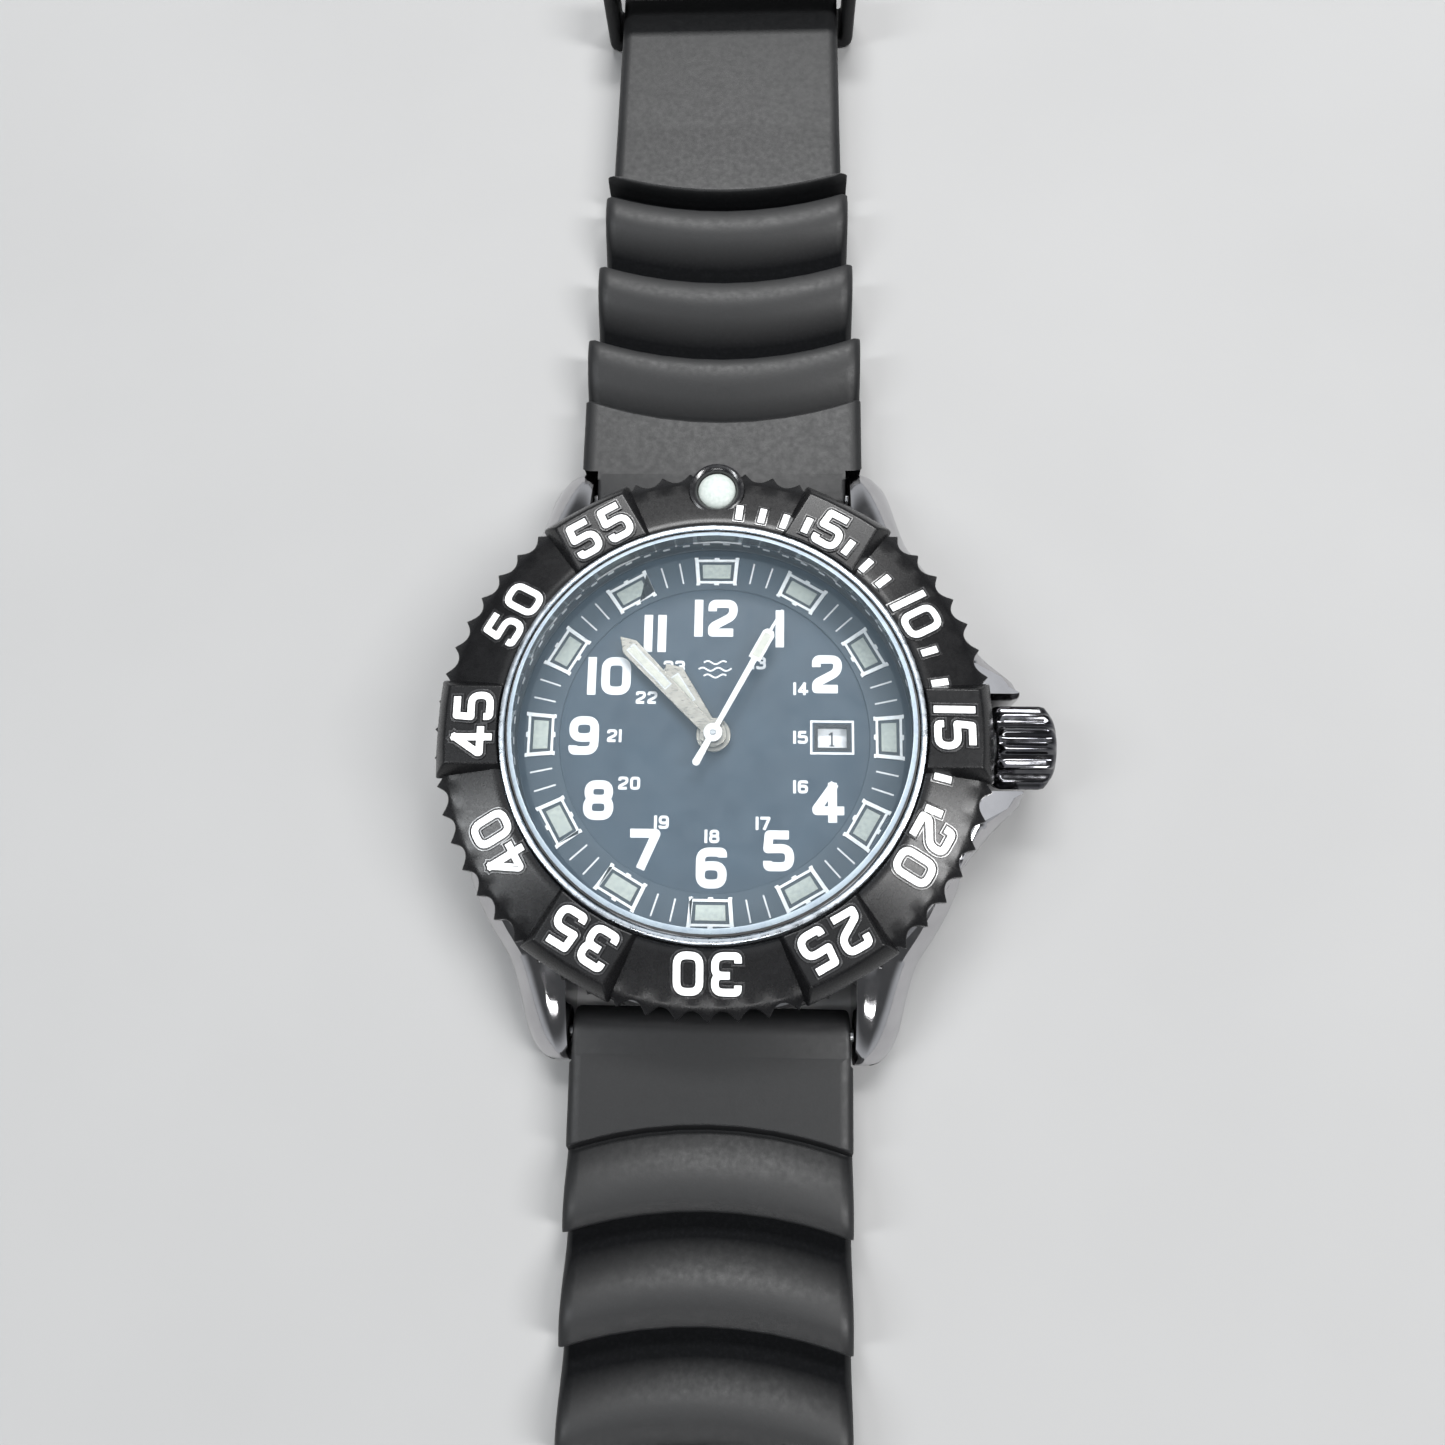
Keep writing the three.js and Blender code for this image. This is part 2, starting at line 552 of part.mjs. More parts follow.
function secondHand() {
  const { length, tail, z } = SECOND_HAND;
  const box = [[0.1, 6.6], [0.5, 6.6], [0.5, 9.25], [0.1, 9.25]]; // frame of the luminous spot
  const outline = mirrored([[0.2, -tail], [0.14, 0], ...box, [0.04, length]]);
  const needle = join(plate(outline, z, z + 0.12), discOf(0.65, z, z + 0.17, SMALL));
  return cut(needle, discOf(0.19, z - 1, z + 1, TINY));
}
addHand("second_hand", secondHand(), SECOND_HAND.angle, white);

// ---- Strap: each half is drawn towards +Y from the watch's centre ----

const humpTops = [[35.2, 4.4], [43, 4.3], [50.7, 4.1]]; // crest edge and its height
function strapTop() {
  const points = [...arc(BAR_Y, BAR_Z, STRAP_NOSE_R, 180, 90, 6), [29.2, 4.2], [29.7, 2.8]];
  humpTops.forEach(([y, z]) => points.push([y - 1.6, z + 0.2], [y, z], [y + 0.5, z - 1.8]));
  return [...points, [52.8, 2.3], [53.3, TAIL_TOP]];
}

// Nose, shoulders past the lugs, and a stepped taper.
const strapEdge = [
  [STRAP_NOSE_HALF, 20], [STRAP_NOSE_HALF, SHOULDER_Y - 1.6], [12.2, SHOULDER_Y - 1.6], [12.2, 35.4],
  [11.6, 35.6], [11.6, 43.2], [11.25, 43.4], [11.25, 53], [10.65, 53.2],
];
const STRAP_SIDE = 13; // clears the widest part of the strap
const underNose = arc(BAR_Y, BAR_Z, STRAP_NOSE_R, 270, 210, 3);
const lugClearance = moved(toX(discOf(2.7, STRAP_NOSE_HALF, STRAP_SIDE, SMALL)), 0, BAR_Y, BAR_Z);
const barBore = moved(toX(discOf(1, -STRAP_SIDE, STRAP_SIDE, TINY)), 0, BAR_Y, BAR_Z);

// A strap half from its side view and its plan, with room for the lugs and the spring bar.
function strapHalf(side, plan, ...cuts) {
  const whole = common(along(side, -STRAP_SIDE, STRAP_SIDE), plate(plan, -1, 7));
  return cut(whole, lugClearance, mirrorX(lugClearance), barBore, ...cuts);
}

function strap12() {
  const end = arc(BUCKLE_BAR_Y, BUCKLE_BAR_Z, 1.4, 90, -60, 5);
  const underside = [[58, 1.2], [50, 0], [24, 0]];
  const side = [...strapTop(), [91, 3.75], ...end, ...underside, ...underNose];
  const plan = mirrored([...strapEdge, [10.25, 92], [10.25, 97]]).reverse();
  const buckleBore = moved(toX(discOf(0.85, -STRAP_SIDE, STRAP_SIDE, TINY)), 0, BUCKLE_BAR_Y, BUCKLE_BAR_Z);
  const tongueSlot = box(-1.5, 1.5, 92.6, 98, 0, 6);
  return strapHalf(side, plan, buckleBore, tongueSlot);
}

function strap6() {
  const side = [...strapTop(), [60, 3.2], [STRAP_6_TIP, 2.8], [STRAP_6_TIP, 0], [24, 0], ...underNose];
  const tip = arc(0, STRAP_6_TIP - 10, 10, 0, 90, 5).slice(0, -1);
  const plan = mirrored([...strapEdge, ...tip, [1.5, STRAP_6_TIP]]).reverse();
  const hole = discOf(HOLE_R, -1, 5, TINY);
  const holeAt = (i) => moved(hole, 0, FIRST_HOLE_Y + i * HOLE_PITCH, 0);
  const holes = Array.from({ length: STRAP_6_HOLES }, (_, i) => holeAt(i));
  return strapHalf(side, plan, ...holes);
}

// A loop round the strap, between two distances along it.
function keeper(y0, y1) {
  const upper = mirrored([[12.15, 0.4], [12.15, 6.3], [11.45, 7]]);
  const outer = [[11.75, 0], ...upper, [-11.75, 0]];
  const inner = [[-10.95, 1], [10.95, 1], [10.95, 6], [-10.95, 6]];
  return closed(plate(outer, -y1, -y0, [inner]).rotateX(90 * DEG));
}

// Coil spring along X between two ends.
function coilSpring(half, radius, wire, turns) {
  const steps = turns * COIL_STEPS;
  const path = new THREE.CatmullRomCurve3(
    Array.from({ length: steps + 1 }, (_, i) => {
      const turn = (i / COIL_STEPS) * 360 * DEG;
      const x = -half + (2 * half * i) / steps;
      return new THREE.Vector3(x, radius * Math.cos(turn), radius * Math.sin(turn));
    }),
  );
  const section = shapeOf(circle(0, 0, wire / 2, 3));
  return closed(new THREE.ExtrudeGeometry(section, { steps, bevelEnabled: false, extrudePath: path }));
}

// Spring bar: a tube, a sprung tip at each end and the spring between them.
function addSpringBar(name, group) {
  add(`${name}_tube`, toX(ringOf(0.56, BAR_TUBE_R, -10.3, 10.3, TINY)), plainSteel, group);
  add(`${name}_spring`, coilSpring(7.6, 0.36, 0.18, 8), plainSteel, group);
  const nose = [[BAR_TIP_R, BAR_REACH - 0.2], [0.3, BAR_REACH], [0, BAR_REACH]];
  const tip = toX(lathe([[0, 8.8], [BAR_TIP_R, 8.8], ...nose], TINY));
  add(`${name}_tip_crown`, tip, plainSteel, group);
  add(`${name}_tip_left`, mirrorX(tip), plainSteel, group);
}

const half12 = groupAt(0, 0);
const half6 = groupAt(0, 0);
half6.rotation.z = 180 * DEG;
add("strap_12", strap12(), rubberBlack, half12);
add("strap_6", strap6(), rubberBlack, half6);
addSpringBar("spring_bar_12", groupAt(0, BAR_Y, BAR_Z));
addSpringBar("spring_bar_6", groupAt(0, -BAR_Y, BAR_Z));
add("keeper_fixed", keeper(84, 88), rubberBlack, half12);
add("keeper_free", keeper(72.7, 76.7), rubberBlack, half12);

// ---- Buckle ----

function buckleFrame() {
  const outer = mirrored([[12.9, 93.6], [12.9, 103.4], [11.8, 105.4], [9.4, 106.4]]);
  const inner = mirrored([[10.55, 90], [10.55, 102.2], [9.6, 103.1]]);
  const side = [
    [93.6, 1.5], [94.2, 1], [97, 0.9], [102, 0], [106.4, 0], [106.4, 2.2], [105.4, 3.2], [103, 3.4],
    [98, 3.9], [94.2, 3.9], [93.6, 3.4],
  ];
  const body = common(plate(outer.reverse(), -1, 6), along(side, -14, 14));
  const barHole = moved(toX(discOf(0.85, -11.9, 11.9, TINY)), 0, BUCKLE_BAR_Y, BUCKLE_BAR_Z);
  return cut(body, plate(inner.reverse(), -1, 6), barHole);
}

function buckleTongue() {
  const loop = moved(toX(ringOf(0.85, 1.4, -1.1, 1.1, TINY)), 0, BUCKLE_BAR_Y, BUCKLE_BAR_Z);
  const side = [
    [96.1, 2.5], [96.1, 3.6], [100, 4.35], [106.3, 4.35], [106.3, 3.6], [103, 3.55], [99.5, 3.3], [97.4, 2.5],
  ];
  return join(loop, along(side, -0.9, 0.9));
}
const buckleBar = moved(toX(discOf(BUCKLE_BAR_R, -11.8, 11.8, TINY)), 0, BUCKLE_BAR_Y, BUCKLE_BAR_Z);
add("buckle_frame", buckleFrame(), plainSteel);
add("buckle_bar", buckleBar, plainSteel);
add("buckle_tongue", buckleTongue(), plainSteel);

export default watch;
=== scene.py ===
"""Looks of the dive watch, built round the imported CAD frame.

Shapes are worked out in millimetres in the watch's own frame (+Z up through the dial, +Y to 12 o'clock, +X to
the crown) and scaled to metres as each mesh is made.
"""
import math

import bmesh
import bpy
from mathutils import Matrix, Vector
from mathutils.geometry import delaunay_2d_cdt


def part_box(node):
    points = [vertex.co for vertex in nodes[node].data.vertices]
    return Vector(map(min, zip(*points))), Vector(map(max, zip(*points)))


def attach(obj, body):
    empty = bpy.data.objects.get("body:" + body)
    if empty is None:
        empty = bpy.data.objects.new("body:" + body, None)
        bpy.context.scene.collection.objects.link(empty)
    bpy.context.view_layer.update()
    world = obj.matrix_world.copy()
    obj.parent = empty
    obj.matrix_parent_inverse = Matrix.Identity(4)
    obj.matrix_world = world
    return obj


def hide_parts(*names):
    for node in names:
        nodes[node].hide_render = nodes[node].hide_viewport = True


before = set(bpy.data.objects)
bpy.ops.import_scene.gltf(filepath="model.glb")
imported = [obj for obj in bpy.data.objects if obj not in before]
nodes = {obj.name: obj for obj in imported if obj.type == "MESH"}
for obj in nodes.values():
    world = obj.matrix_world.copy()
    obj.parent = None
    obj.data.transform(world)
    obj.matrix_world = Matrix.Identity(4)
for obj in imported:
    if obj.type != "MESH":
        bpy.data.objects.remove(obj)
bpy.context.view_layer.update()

MM = 0.001


def corners(node):
    """Lowest and highest corner of a CAD node, in millimetres."""
    low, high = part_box(node)
    return low / MM, high / MM


def middle(node, axis):
    """The middle of a CAD node along X (0), Y (1) or Z (2), in millimetres."""
    low, high = corners(node)
    return (low[axis] + high[axis]) / 2


# ---- Driving dimensions, from the frame ----
INDEX_TOP = corners("index_ring")[1].z
DIAL_BOTTOM = corners("dial")[0].z
DIAL_TOP = corners("dial")[1].z
DIAL_R = corners("dial")[1].x
CRYSTAL_BOTTOM = corners("crystal")[0].z
CRYSTAL_TOP = corners("crystal")[1].z
CRYSTAL_R = corners("crystal")[1].x
BEZEL_BOTTOM = corners("bezel")[0].z
BLOCK_TOP = corners("bezel")[1].z
TIP_R = corners("bezel")[1].y
CROWN_START = corners("crown")[0].x
CROWN_END = corners("crown")[1].x
CROWN_R = corners("crown")[1].y
STEM_Z = middle("crown", 2)
PIP_TOP = corners("bezel_pip")[1].z
PIP_Y = middle("bezel_pip", 1)
BAR_Y = middle("spring_bar_12_tube", 1)
BAR_Z = middle("spring_bar_12_tube", 2)
BUCKLE_BAR_Y = middle("buckle_bar", 1)
BUCKLE_BAR_Z = middle("buckle_bar", 2)
STRAP_12_END = corners("strap_12")[1].y
STRAP_6_END = -corners("strap_6")[0].y

LUG_GAP_HALF = 11.0
ROOT_R = 20.65  # bottom of the valleys between the bezel's teeth
TEETH = 60
HUMP_REACH = 52.5  # the strap's humps lie within this distance of the middle
SHADE_FADE_END = 8.0  # length over which the painted shade in the valleys gives way to the plain tail
SQUARE_ON_MIRROR = 0.056  # share of light that one face of the crystal mirrors when seen square on
MERGE = 2e-7  # points closer than this, in metres, are one
ROUND = 256  # facets on the large round pieces
FINE = 64
SMALL = 32


# ---- Mesh helpers ----


def lathe(profile, steps=ROUND, at=(0, 0)):
    """A profile of (radius, z) turned about an upright axis, closed on itself or at the axis."""
    verts, faces, rows = [], [], []
    for radius, z in profile:
        if radius < 1e-9:
            rows.append([len(verts)] * steps)
            verts.append((at[0], at[1], z))
            continue
        rows.append(list(range(len(verts), len(verts) + steps)))
        for i in range(steps):
            turn = 2 * math.pi * i / steps
            verts.append((at[0] + radius * math.cos(turn), at[1] + radius * math.sin(turn), z))
    pairs = list(zip(rows, rows[1:]))
    if all(radius > 1e-9 for radius, z in profile):
        pairs.append((rows[-1], rows[0]))
    for low, high in pairs:
        for i in range(steps):
            k = (i + 1) % steps
            face = [low[i], low[k], high[k], high[i]]
            face = [v for n, v in enumerate(face) if v not in face[:n]]
            if len(face) > 2:
                faces.append(face)
    return verts, faces


def loft(rings, closed=False):
    """Rings of points, each joined to the next: capped at both ends, or closed into a round."""
    count, total = len(rings[0]), len(rings)
    verts = [p for ring in rings for p in ring]
    faces = []
    for r in range(total if closed else total - 1):
        s = (r + 1) % total
        for i in range(count):
            k = (i + 1) % count
            faces.append([r * count + i, r * count + k, s * count + k, s * count + i])
    if not closed:
        faces.append(list(range(count))[::-1])
        faces.append([(total - 1) * count + i for i in range(count)])
    return verts, faces


def joined(*shapes):
    """Several (verts, faces) as one."""
    verts, faces = [], []
    for shape_verts, shape_faces in shapes:
        start = len(verts)
        verts += list(shape_verts)
        faces += [[start + i for i in face] for face in shape_faces]
    return verts, faces


def turned(shape, degrees):
    """A shape turned about the watch's upright axis."""
    turn = Matrix.Rotation(math.radians(degrees), 4, "Z")
    verts, faces = shape
    return [tuple(turn @ Vector(v)) for v in verts], faces


def arc(x, y, radius, start, end, steps):
    """Points on an arc, from one angle to another in degrees."""
    points = []
    for i in range(steps + 1):
        turn = math.radians(start + (end - start) * i / steps)
        points.append((x + radius * math.cos(turn), y + radius * math.sin(turn)))
    return points


def circle(radius, steps):
    """A closed outline round the origin."""
    return arc(0, 0, radius, 0, 360, steps)[:-1]


def box_outline(x0, x1, y0, y1):
    return [(x0, y0), (x1, y0), (x1, y1), (x0, y1)]


def tapered(y0, half0, y1, half1):
    """A four-sided outline along Y that is half0 wide each way at y0 and half1 at y1."""
    return [(-half0, y0), (half0, y0), (half1, y1), (-half1, y1)]


def rounded(points, radius, closed=False, steps=5):
    """A path of (x, y) or (x, y, radius) corners with each corner rounded."""
    count = len(points)
    out = []
    for i, point in enumerate(points):
        here = Vector(point[:2])
        if not closed and i in (0, count - 1):
            out.append(tuple(here))
            continue
        before, after = Vector(points[i - 1][:2]), Vector(points[(i + 1) % count][:2])
        size = point[2] if len(point) > 2 else radius
        to_before, to_after = before - here, after - here
        half = to_before.angle(to_after) / 2
        if size < 1e-6 or half > math.radians(89):
            out.append(tuple(here))
            continue
        reach = min(size / math.tan(half), to_before.length * 0.49, to_after.length * 0.49)
        start = here + to_before.normalized() * reach
        end = here + to_after.normalized() * reach
        for k in range(steps + 1):
            t = k / steps
            out.append(tuple(start * (1 - t) ** 2 + here * (2 * t * (1 - t)) + end * t ** 2))
    return out


def ribbon(path, width, closed=False):
    """Quads of constant width along a path, mitred at its corners."""
    points = [Vector(p) for p in path]
    if closed:
        points = points + points[:1]
    count = len(points)
    sides = []
    for i, here in enumerate(points):
        before = points[i - 1] if i else (points[-2] if closed else None)
        after = points[i + 1] if i < count - 1 else (points[1] if closed else None)
        ways = []
        if before is not None and (here - before).length > 1e-9:
            ways.append((here - before).normalized())
        if after is not None and (after - here).length > 1e-9:
            ways.append((after - here).normalized())
        way = sum(ways, Vector((0, 0))).normalized()
        normal = Vector((-way.y, way.x))
        bend = max(0.45, abs(way.dot(ways[0])))
        sides.append((here + normal * width / 2 / bend, here - normal * width / 2 / bend))
    return [[a, b, d, c] for (a, b), (c, d) in zip(sides, sides[1:])]


def inside(point, loop):
    """True if a point is inside a closed outline."""
    odd = False
    for (x0, y0), (x1, y1) in zip(loop, list(loop[1:]) + [loop[0]]):
        if (y0 > point[1]) != (y1 > point[1]) and point[0] < (x1 - x0) * (point[1] - y0) / (y1 - y0) + x0:
            odd = not odd
    return odd


def triangulated(verts, edges, faces, wanted):
    """Triangles between flat points and edges, where wanted(middle) holds: (points, triangles)."""
    points, _, triangles, _, _, _ = delaunay_2d_cdt(verts, edges, faces, 1, 1e-5)
    kept = [t for t in triangles if wanted(sum((points[i] for i in t), Vector((0, 0))) / 3)]
    return points, kept


def union(polygons, without=()):
    """Flat polygons merged into one triangulated area, less some others."""
    verts, faces = [], []
    for polygon in [*polygons, *without]:
        area = sum(p[0] * q[1] - q[0] * p[1] for p, q in zip(polygon, polygon[1:] + polygon[:1]))
        if abs(area) < 1e-9:
            continue
        ring = list(polygon) if area > 0 else list(polygon)[::-1]
        faces.append(list(range(len(verts), len(verts) + len(ring))))
        verts += [Vector(p) for p in ring]

    def wanted(point):
        within = any(inside(point, loop) for loop in polygons)
        return within and not any(inside(point, loop) for loop in without)
    return triangulated(verts, [], faces, wanted)


def area_with_holes(rim, holes):
    """A flat outline with holes, triangulated."""
    verts = [Vector(p) for p in rim]
    loops = [list(range(len(verts)))]
    for hole in holes:
        loops.append(list(range(len(verts), len(verts) + len(hole))))
        verts += [Vector(p) for p in hole]
    edges = [(a, b) for loop in loops for a, b in zip(loop, loop[1:] + loop[:1])]
    return triangulated(verts, edges, [], lambda point: not any(inside(point, hole) for hole in holes))


def slab(area, place, low, high):
    """A flat area raised into a solid: place(x, y, height) gives the point in space."""
    points, triangles = area
    count = len(points)
    verts = [tuple(place(p[0], p[1], z)) for z in (low, high) for p in points]
    faces = [list(t)[::-1] for t in triangles] + [[i + count for i in t] for t in triangles]
    edges = {}
    for t in triangles:
        for a, b in zip(t, list(t[1:]) + [t[0]]):
            edges[(a, b)] = edges.get((a, b), 0) + 1
    for a, b in edges:
        if (b, a) not in edges:
            faces.append([a, b, b + count, a + count])
    return verts, faces


def flat_place(x, y, z):
    return x, y, z


def add_object(name, data):
    """A new object in the scene."""
    obj = bpy.data.objects.new(name, data)
    bpy.context.scene.collection.objects.link(obj)
    return obj


def add_mesh(name, shape, tidy=False):
    """An object from (verts, faces) in millimetres: one skin facing out, flat areas merged if tidy."""
    mesh = bpy.data.meshes.new(name)
    verts, faces = shape
    mesh.from_pydata([Vector(v) * MM for v in verts], [], faces)
    bm = bmesh.new()
    bm.from_mesh(mesh)
    bmesh.ops.remove_doubles(bm, verts=bm.verts, dist=MERGE)
    bmesh.ops.dissolve_degenerate(bm, edges=bm.edges, dist=MERGE)
    if tidy:
        bmesh.ops.dissolve_limit(bm, angle_limit=math.radians(0.6), verts=bm.verts, edges=bm.edges)
    bmesh.ops.recalc_face_normals(bm, faces=bm.faces)
    bm.to_mesh(mesh)
    bm.free()
    return add_object(name, mesh)


def crease(obj, degrees):
    """Smooth shading, with a sharp edge where faces meet at more than this angle."""
    obj.data.shade_smooth()
    obj.data.set_sharp_from_angle(angle=math.radians(degrees))


def piece(name, shape, look, body, stands_for=(), sharp=32, bevel=0.0, segments=2, tidy=False):
    """One visible piece from (verts, faces) in millimetres, riding on a CAD body."""
    obj = add_mesh(name, shape, tidy)
    crease(obj, sharp)
    obj.data.materials.append(look)
    if bevel:
        soften(obj, bevel, segments, sharp)
    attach(obj, body)
    if stands_for:
        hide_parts(*stands_for)
    return obj


def soften(obj, width, segments, sharp):
    """Rounds an object's sharp edges by a width in millimetres."""
    edge = obj.modifiers.new("edges", "BEVEL")
    edge.width = width * MM
    edge.segments = segments
    edge.limit_method = "ANGLE"
    edge.angle_limit = math.radians(sharp)
    edge.use_clamp_overlap = False
    edge.harden_normals = True


def boolean(obj, tools, how, sharp):
    """Joins the tool shapes to obj, or cuts them from it, and keeps the result as its mesh."""
    for shape in tools:
        tool = add_mesh("tool", shape)
        step = obj.modifiers.new("step", "BOOLEAN")
        step.object = tool
        step.operation = how
        step.solver = "EXACT"
        bpy.context.view_layer.update()
        done = bpy.data.meshes.new_from_object(obj.evaluated_get(bpy.context.evaluated_depsgraph_get()))
        obj.modifiers.clear()
        obj.data = done
        bpy.data.objects.remove(tool)
    crease(obj, sharp)


# ---- Materials ----


def mapped(tree, value, start, end, low, high, curve="LINEAR"):
    """A socket's value between start and end, carried over to low and high and held there beyond."""
    node = tree.nodes.new("ShaderNodeMapRange")
    node.interpolation_type = curve
    for socket, number in (("From Min", start), ("From Max", end), ("To Min", low), ("To Max", high)):
        node.inputs[socket].default_value = number
    tree.links.new(value, node.inputs["Value"])
    return node.outputs["Result"]


def reckoned(tree, operation, *values):
    """A sum on sockets and plain numbers."""
    node = tree.nodes.new("ShaderNodeMath")
    node.operation = operation
    for value, socket in zip(values, node.inputs):
        if isinstance(value, float):
            socket.default_value = value
        else:
            tree.links.new(value, socket)
    return node.outputs["Value"]


def axes(tree, vector):
    """The X, Y and Z sockets of a vector."""
    parts = tree.nodes.new("ShaderNodeSeparateXYZ")
    tree.links.new(vector, parts.inputs["Vector"])
    return parts.outputs


class Look:
    """A procedural Principled material; its textures are laid in the object's own space."""

    def __init__(self, name, color, roughness, metallic=0.0, **sockets):
        self.material = bpy.data.materials.new(name)
        self.material.use_nodes = True
        self.tree = self.material.node_tree
        self.link = self.tree.links.new
        self.shader = self.tree.nodes["Principled BSDF"]
        self.color = color
        sockets.update(Base_Color=(*color, 1), Roughness=roughness, Metallic=metallic)
        for socket, value in sockets.items():
            self.shader.inputs[socket.replace("_", " ")].default_value = value
        self.space = self.tree.nodes.new("ShaderNodeTexCoord")
        self.normal = None

    def noise(self, feature, detail=3.0, stretch=(1, 1, 1)):
        """Noise whose features are about this size in millimetres."""
        mapping = self.tree.nodes.new("ShaderNodeMapping")
        mapping.inputs["Scale"].default_value = stretch
        self.link(self.space.outputs["Object"], mapping.inputs["Vector"])
        texture = self.tree.nodes.new("ShaderNodeTexNoise")
        texture.inputs["Scale"].default_value = 1 / (feature * MM)
        texture.inputs["Detail"].default_value = detail
        self.link(mapping.outputs["Vector"], texture.inputs["Vector"])
        return texture.outputs["Fac"]

    def rough(self, feature, low, high, **options):
        """The roughness wanders between two values."""
        wander = mapped(self.tree, self.noise(feature, **options), 0.3, 0.7, low, high)
        self.link(wander, self.shader.inputs["Roughness"])
        return self

    def tint(self, feature, other, start=0.35, end=0.65, **options):
        """The base colour drifts towards another colour."""
        mix = self.tree.nodes.new("ShaderNodeMix")
        mix.data_type = "RGBA"
        self.link(mapped(self.tree, self.noise(feature, **options), start, end, 0, 1), mix.inputs["Factor"])
        mix.inputs["A"].default_value = (*self.color, 1)
        mix.inputs["B"].default_value = (*other, 1)
        self.link(mix.outputs["Result"], self.shader.inputs["Base Color"])
        return self

    def fade_low(self, socket, low, high, at_low, at_high, reach):
        """Painted shade in the valleys: on upward faces within reach of the middle along Y, a socket rises
        with height in millimetres.
        """
        tree = self.tree
        place = axes(tree, self.space.outputs["Object"])
        facing = axes(tree, self.space.outputs["Normal"])
        along = reckoned(tree, "ABSOLUTE", place["Y"])
        across = reckoned(tree, "ABSOLUTE", facing["X"])
        share = mapped(tree, place["Z"], low * MM, high * MM, 0, 1)
        for other in (
            mapped(tree, along, reach * MM, (reach + SHADE_FADE_END) * MM, 0, 1),
            mapped(tree, across, 0.4, 0.8, 0, 1),
            mapped(tree, facing["Z"], -0.1, -0.5, 0, 1),
        ):
            share = reckoned(tree, "MAXIMUM", share, other)
        self.link(mapped(tree, share, 0, 1, at_low, at_high), self.shader.inputs[socket])
        return self

    def bump(self, feature, depth, strength=1.0, **options):
        """Relief of a depth in millimetres; each call adds to the one before."""
        node = self.tree.nodes.new("ShaderNodeBump")
        node.inputs["Distance"].default_value = depth * MM
        node.inputs["Strength"].default_value = strength
        self.link(self.noise(feature, **options), node.inputs["Height"])
        if self.normal is not None:
            self.link(self.normal, node.inputs["Normal"])
        self.normal = node.outputs["Normal"]
        self.link(self.normal, self.shader.inputs["Normal"])
        return self


def polished_steel():
    look = Look("polished_steel", (0.52, 0.515, 0.525), 0.1, 1.0)
    look.rough(1.6, 0.05, 0.13).tint(2.5, (0.46, 0.455, 0.465))
    return look.bump(2.2, 0.014, 0.5).bump(0.25, 0.0012, 0.4, stretch=(1, 6, 1)).material


def rim_steel():
    # Brushed steel grey with a blue cast; the blue cast is a painted reflection of the sky.
    look = Look("rim_steel", (0.52, 0.56, 0.6), 0.3, 1.0)
    return look.rough(0.5, 0.22, 0.36).tint(1.5, (0.45, 0.49, 0.53)).bump(0.15, 0.001, 0.4).material


def satin_steel():
    look = Look("satin_steel", (0.56, 0.57, 0.58), 0.3, 1.0)
    look.rough(0.6, 0.24, 0.4, stretch=(1, 8, 1)).tint(1.2, (0.46, 0.47, 0.48))
    return look.bump(0.12, 0.003, 0.6, stretch=(0.3, 6, 1)).material


def black_coating():
    look = Look("black_coating", (0.0035, 0.0035, 0.0039), 0.28, Specular_IOR_Level=0.26)
    look.rough(0.3, 0.25, 0.3).tint(1.4, (0.0055, 0.0055, 0.006))
    return look.bump(0.07, 0.002, 0.35, detail=2.0).material


def gloss_black():
    look = Look("gloss_black", (0.008, 0.008, 0.009), 0.2, Specular_IOR_Level=0.7)
    return look.rough(0.4, 0.14, 0.28).tint(0.8, (0.016, 0.016, 0.017)).bump(0.3, 0.004, 0.4).material


def gunmetal():
    look = Look("gunmetal", (0.13, 0.13, 0.135), 0.16, 1.0)
    return look.rough(0.8, 0.1, 0.22).tint(1.5, (0.09, 0.09, 0.1)).bump(0.5, 0.003, 0.4).material


def rubber():
    look = Look("strap_rubber", (0.0045, 0.0047, 0.0051), 0.5)
    look.rough(0.5, 0.45, 0.54).tint(0.28, (0.0062, 0.0064, 0.007), 0.45, 0.75, detail=5.0)
    look.bump(0.16, 0.008, 0.5, detail=4.0).bump(2.6, 0.02, 0.3)
    # Painted shade: the specular level drops to nothing low in the valleys between the humps, so they read
    # dark.
    return look.fade_low("Specular IOR Level", 2.6, 4.0, 0.0, 0.36, HUMP_REACH).material


def seal():
    look = Look("seal_rubber", (0.02, 0.02, 0.02), 0.5)
    return look.rough(0.3, 0.42, 0.58).tint(0.6, (0.032, 0.032, 0.032)).bump(0.2, 0.004, 0.4).material


def enamel():
    look = Look("white_enamel", (0.84, 0.85, 0.85), 0.28, Coat_Weight=0.3)
    return look.rough(0.4, 0.22, 0.36).tint(0.5, (0.74, 0.75, 0.76)).bump(0.35, 0.006, 0.4).material


def print_white():
    look = Look("dial_print", (0.66, 0.66, 0.665), 0.45)
    return look.rough(0.2, 0.4, 0.55).tint(0.35, (0.6, 0.605, 0.615)).bump(0.12, 0.002, 0.5).material


def navy(name, color, other):
    look = Look(name, color, 0.36)
    return look.rough(1.5, 0.3, 0.44).tint(3.0, other).bump(0.1, 0.0015, 0.5).material


def lume_paint(name, color, other):
    look = Look(name, color, 0.55)
    look.rough(0.25, 0.45, 0.65).tint(0.3, other, detail=5.0)
    return look.bump(0.14, 0.02, 0.7, detail=4.0).material


def champagne():
    look = Look("hand_metal", (0.36, 0.335, 0.295), 0.32, 1.0)
    look.rough(0.4, 0.24, 0.42, stretch=(1, 5, 1)).tint(0.8, (0.3, 0.28, 0.245))
    return look.bump(0.08, 0.0012, 0.5).material


def hand_paint():
    look = Look("hand_white", (0.68, 0.68, 0.67), 0.35)
    return look.rough(0.3, 0.3, 0.44).tint(0.5, (0.61, 0.61, 0.6)).bump(0.2, 0.002, 0.4).material


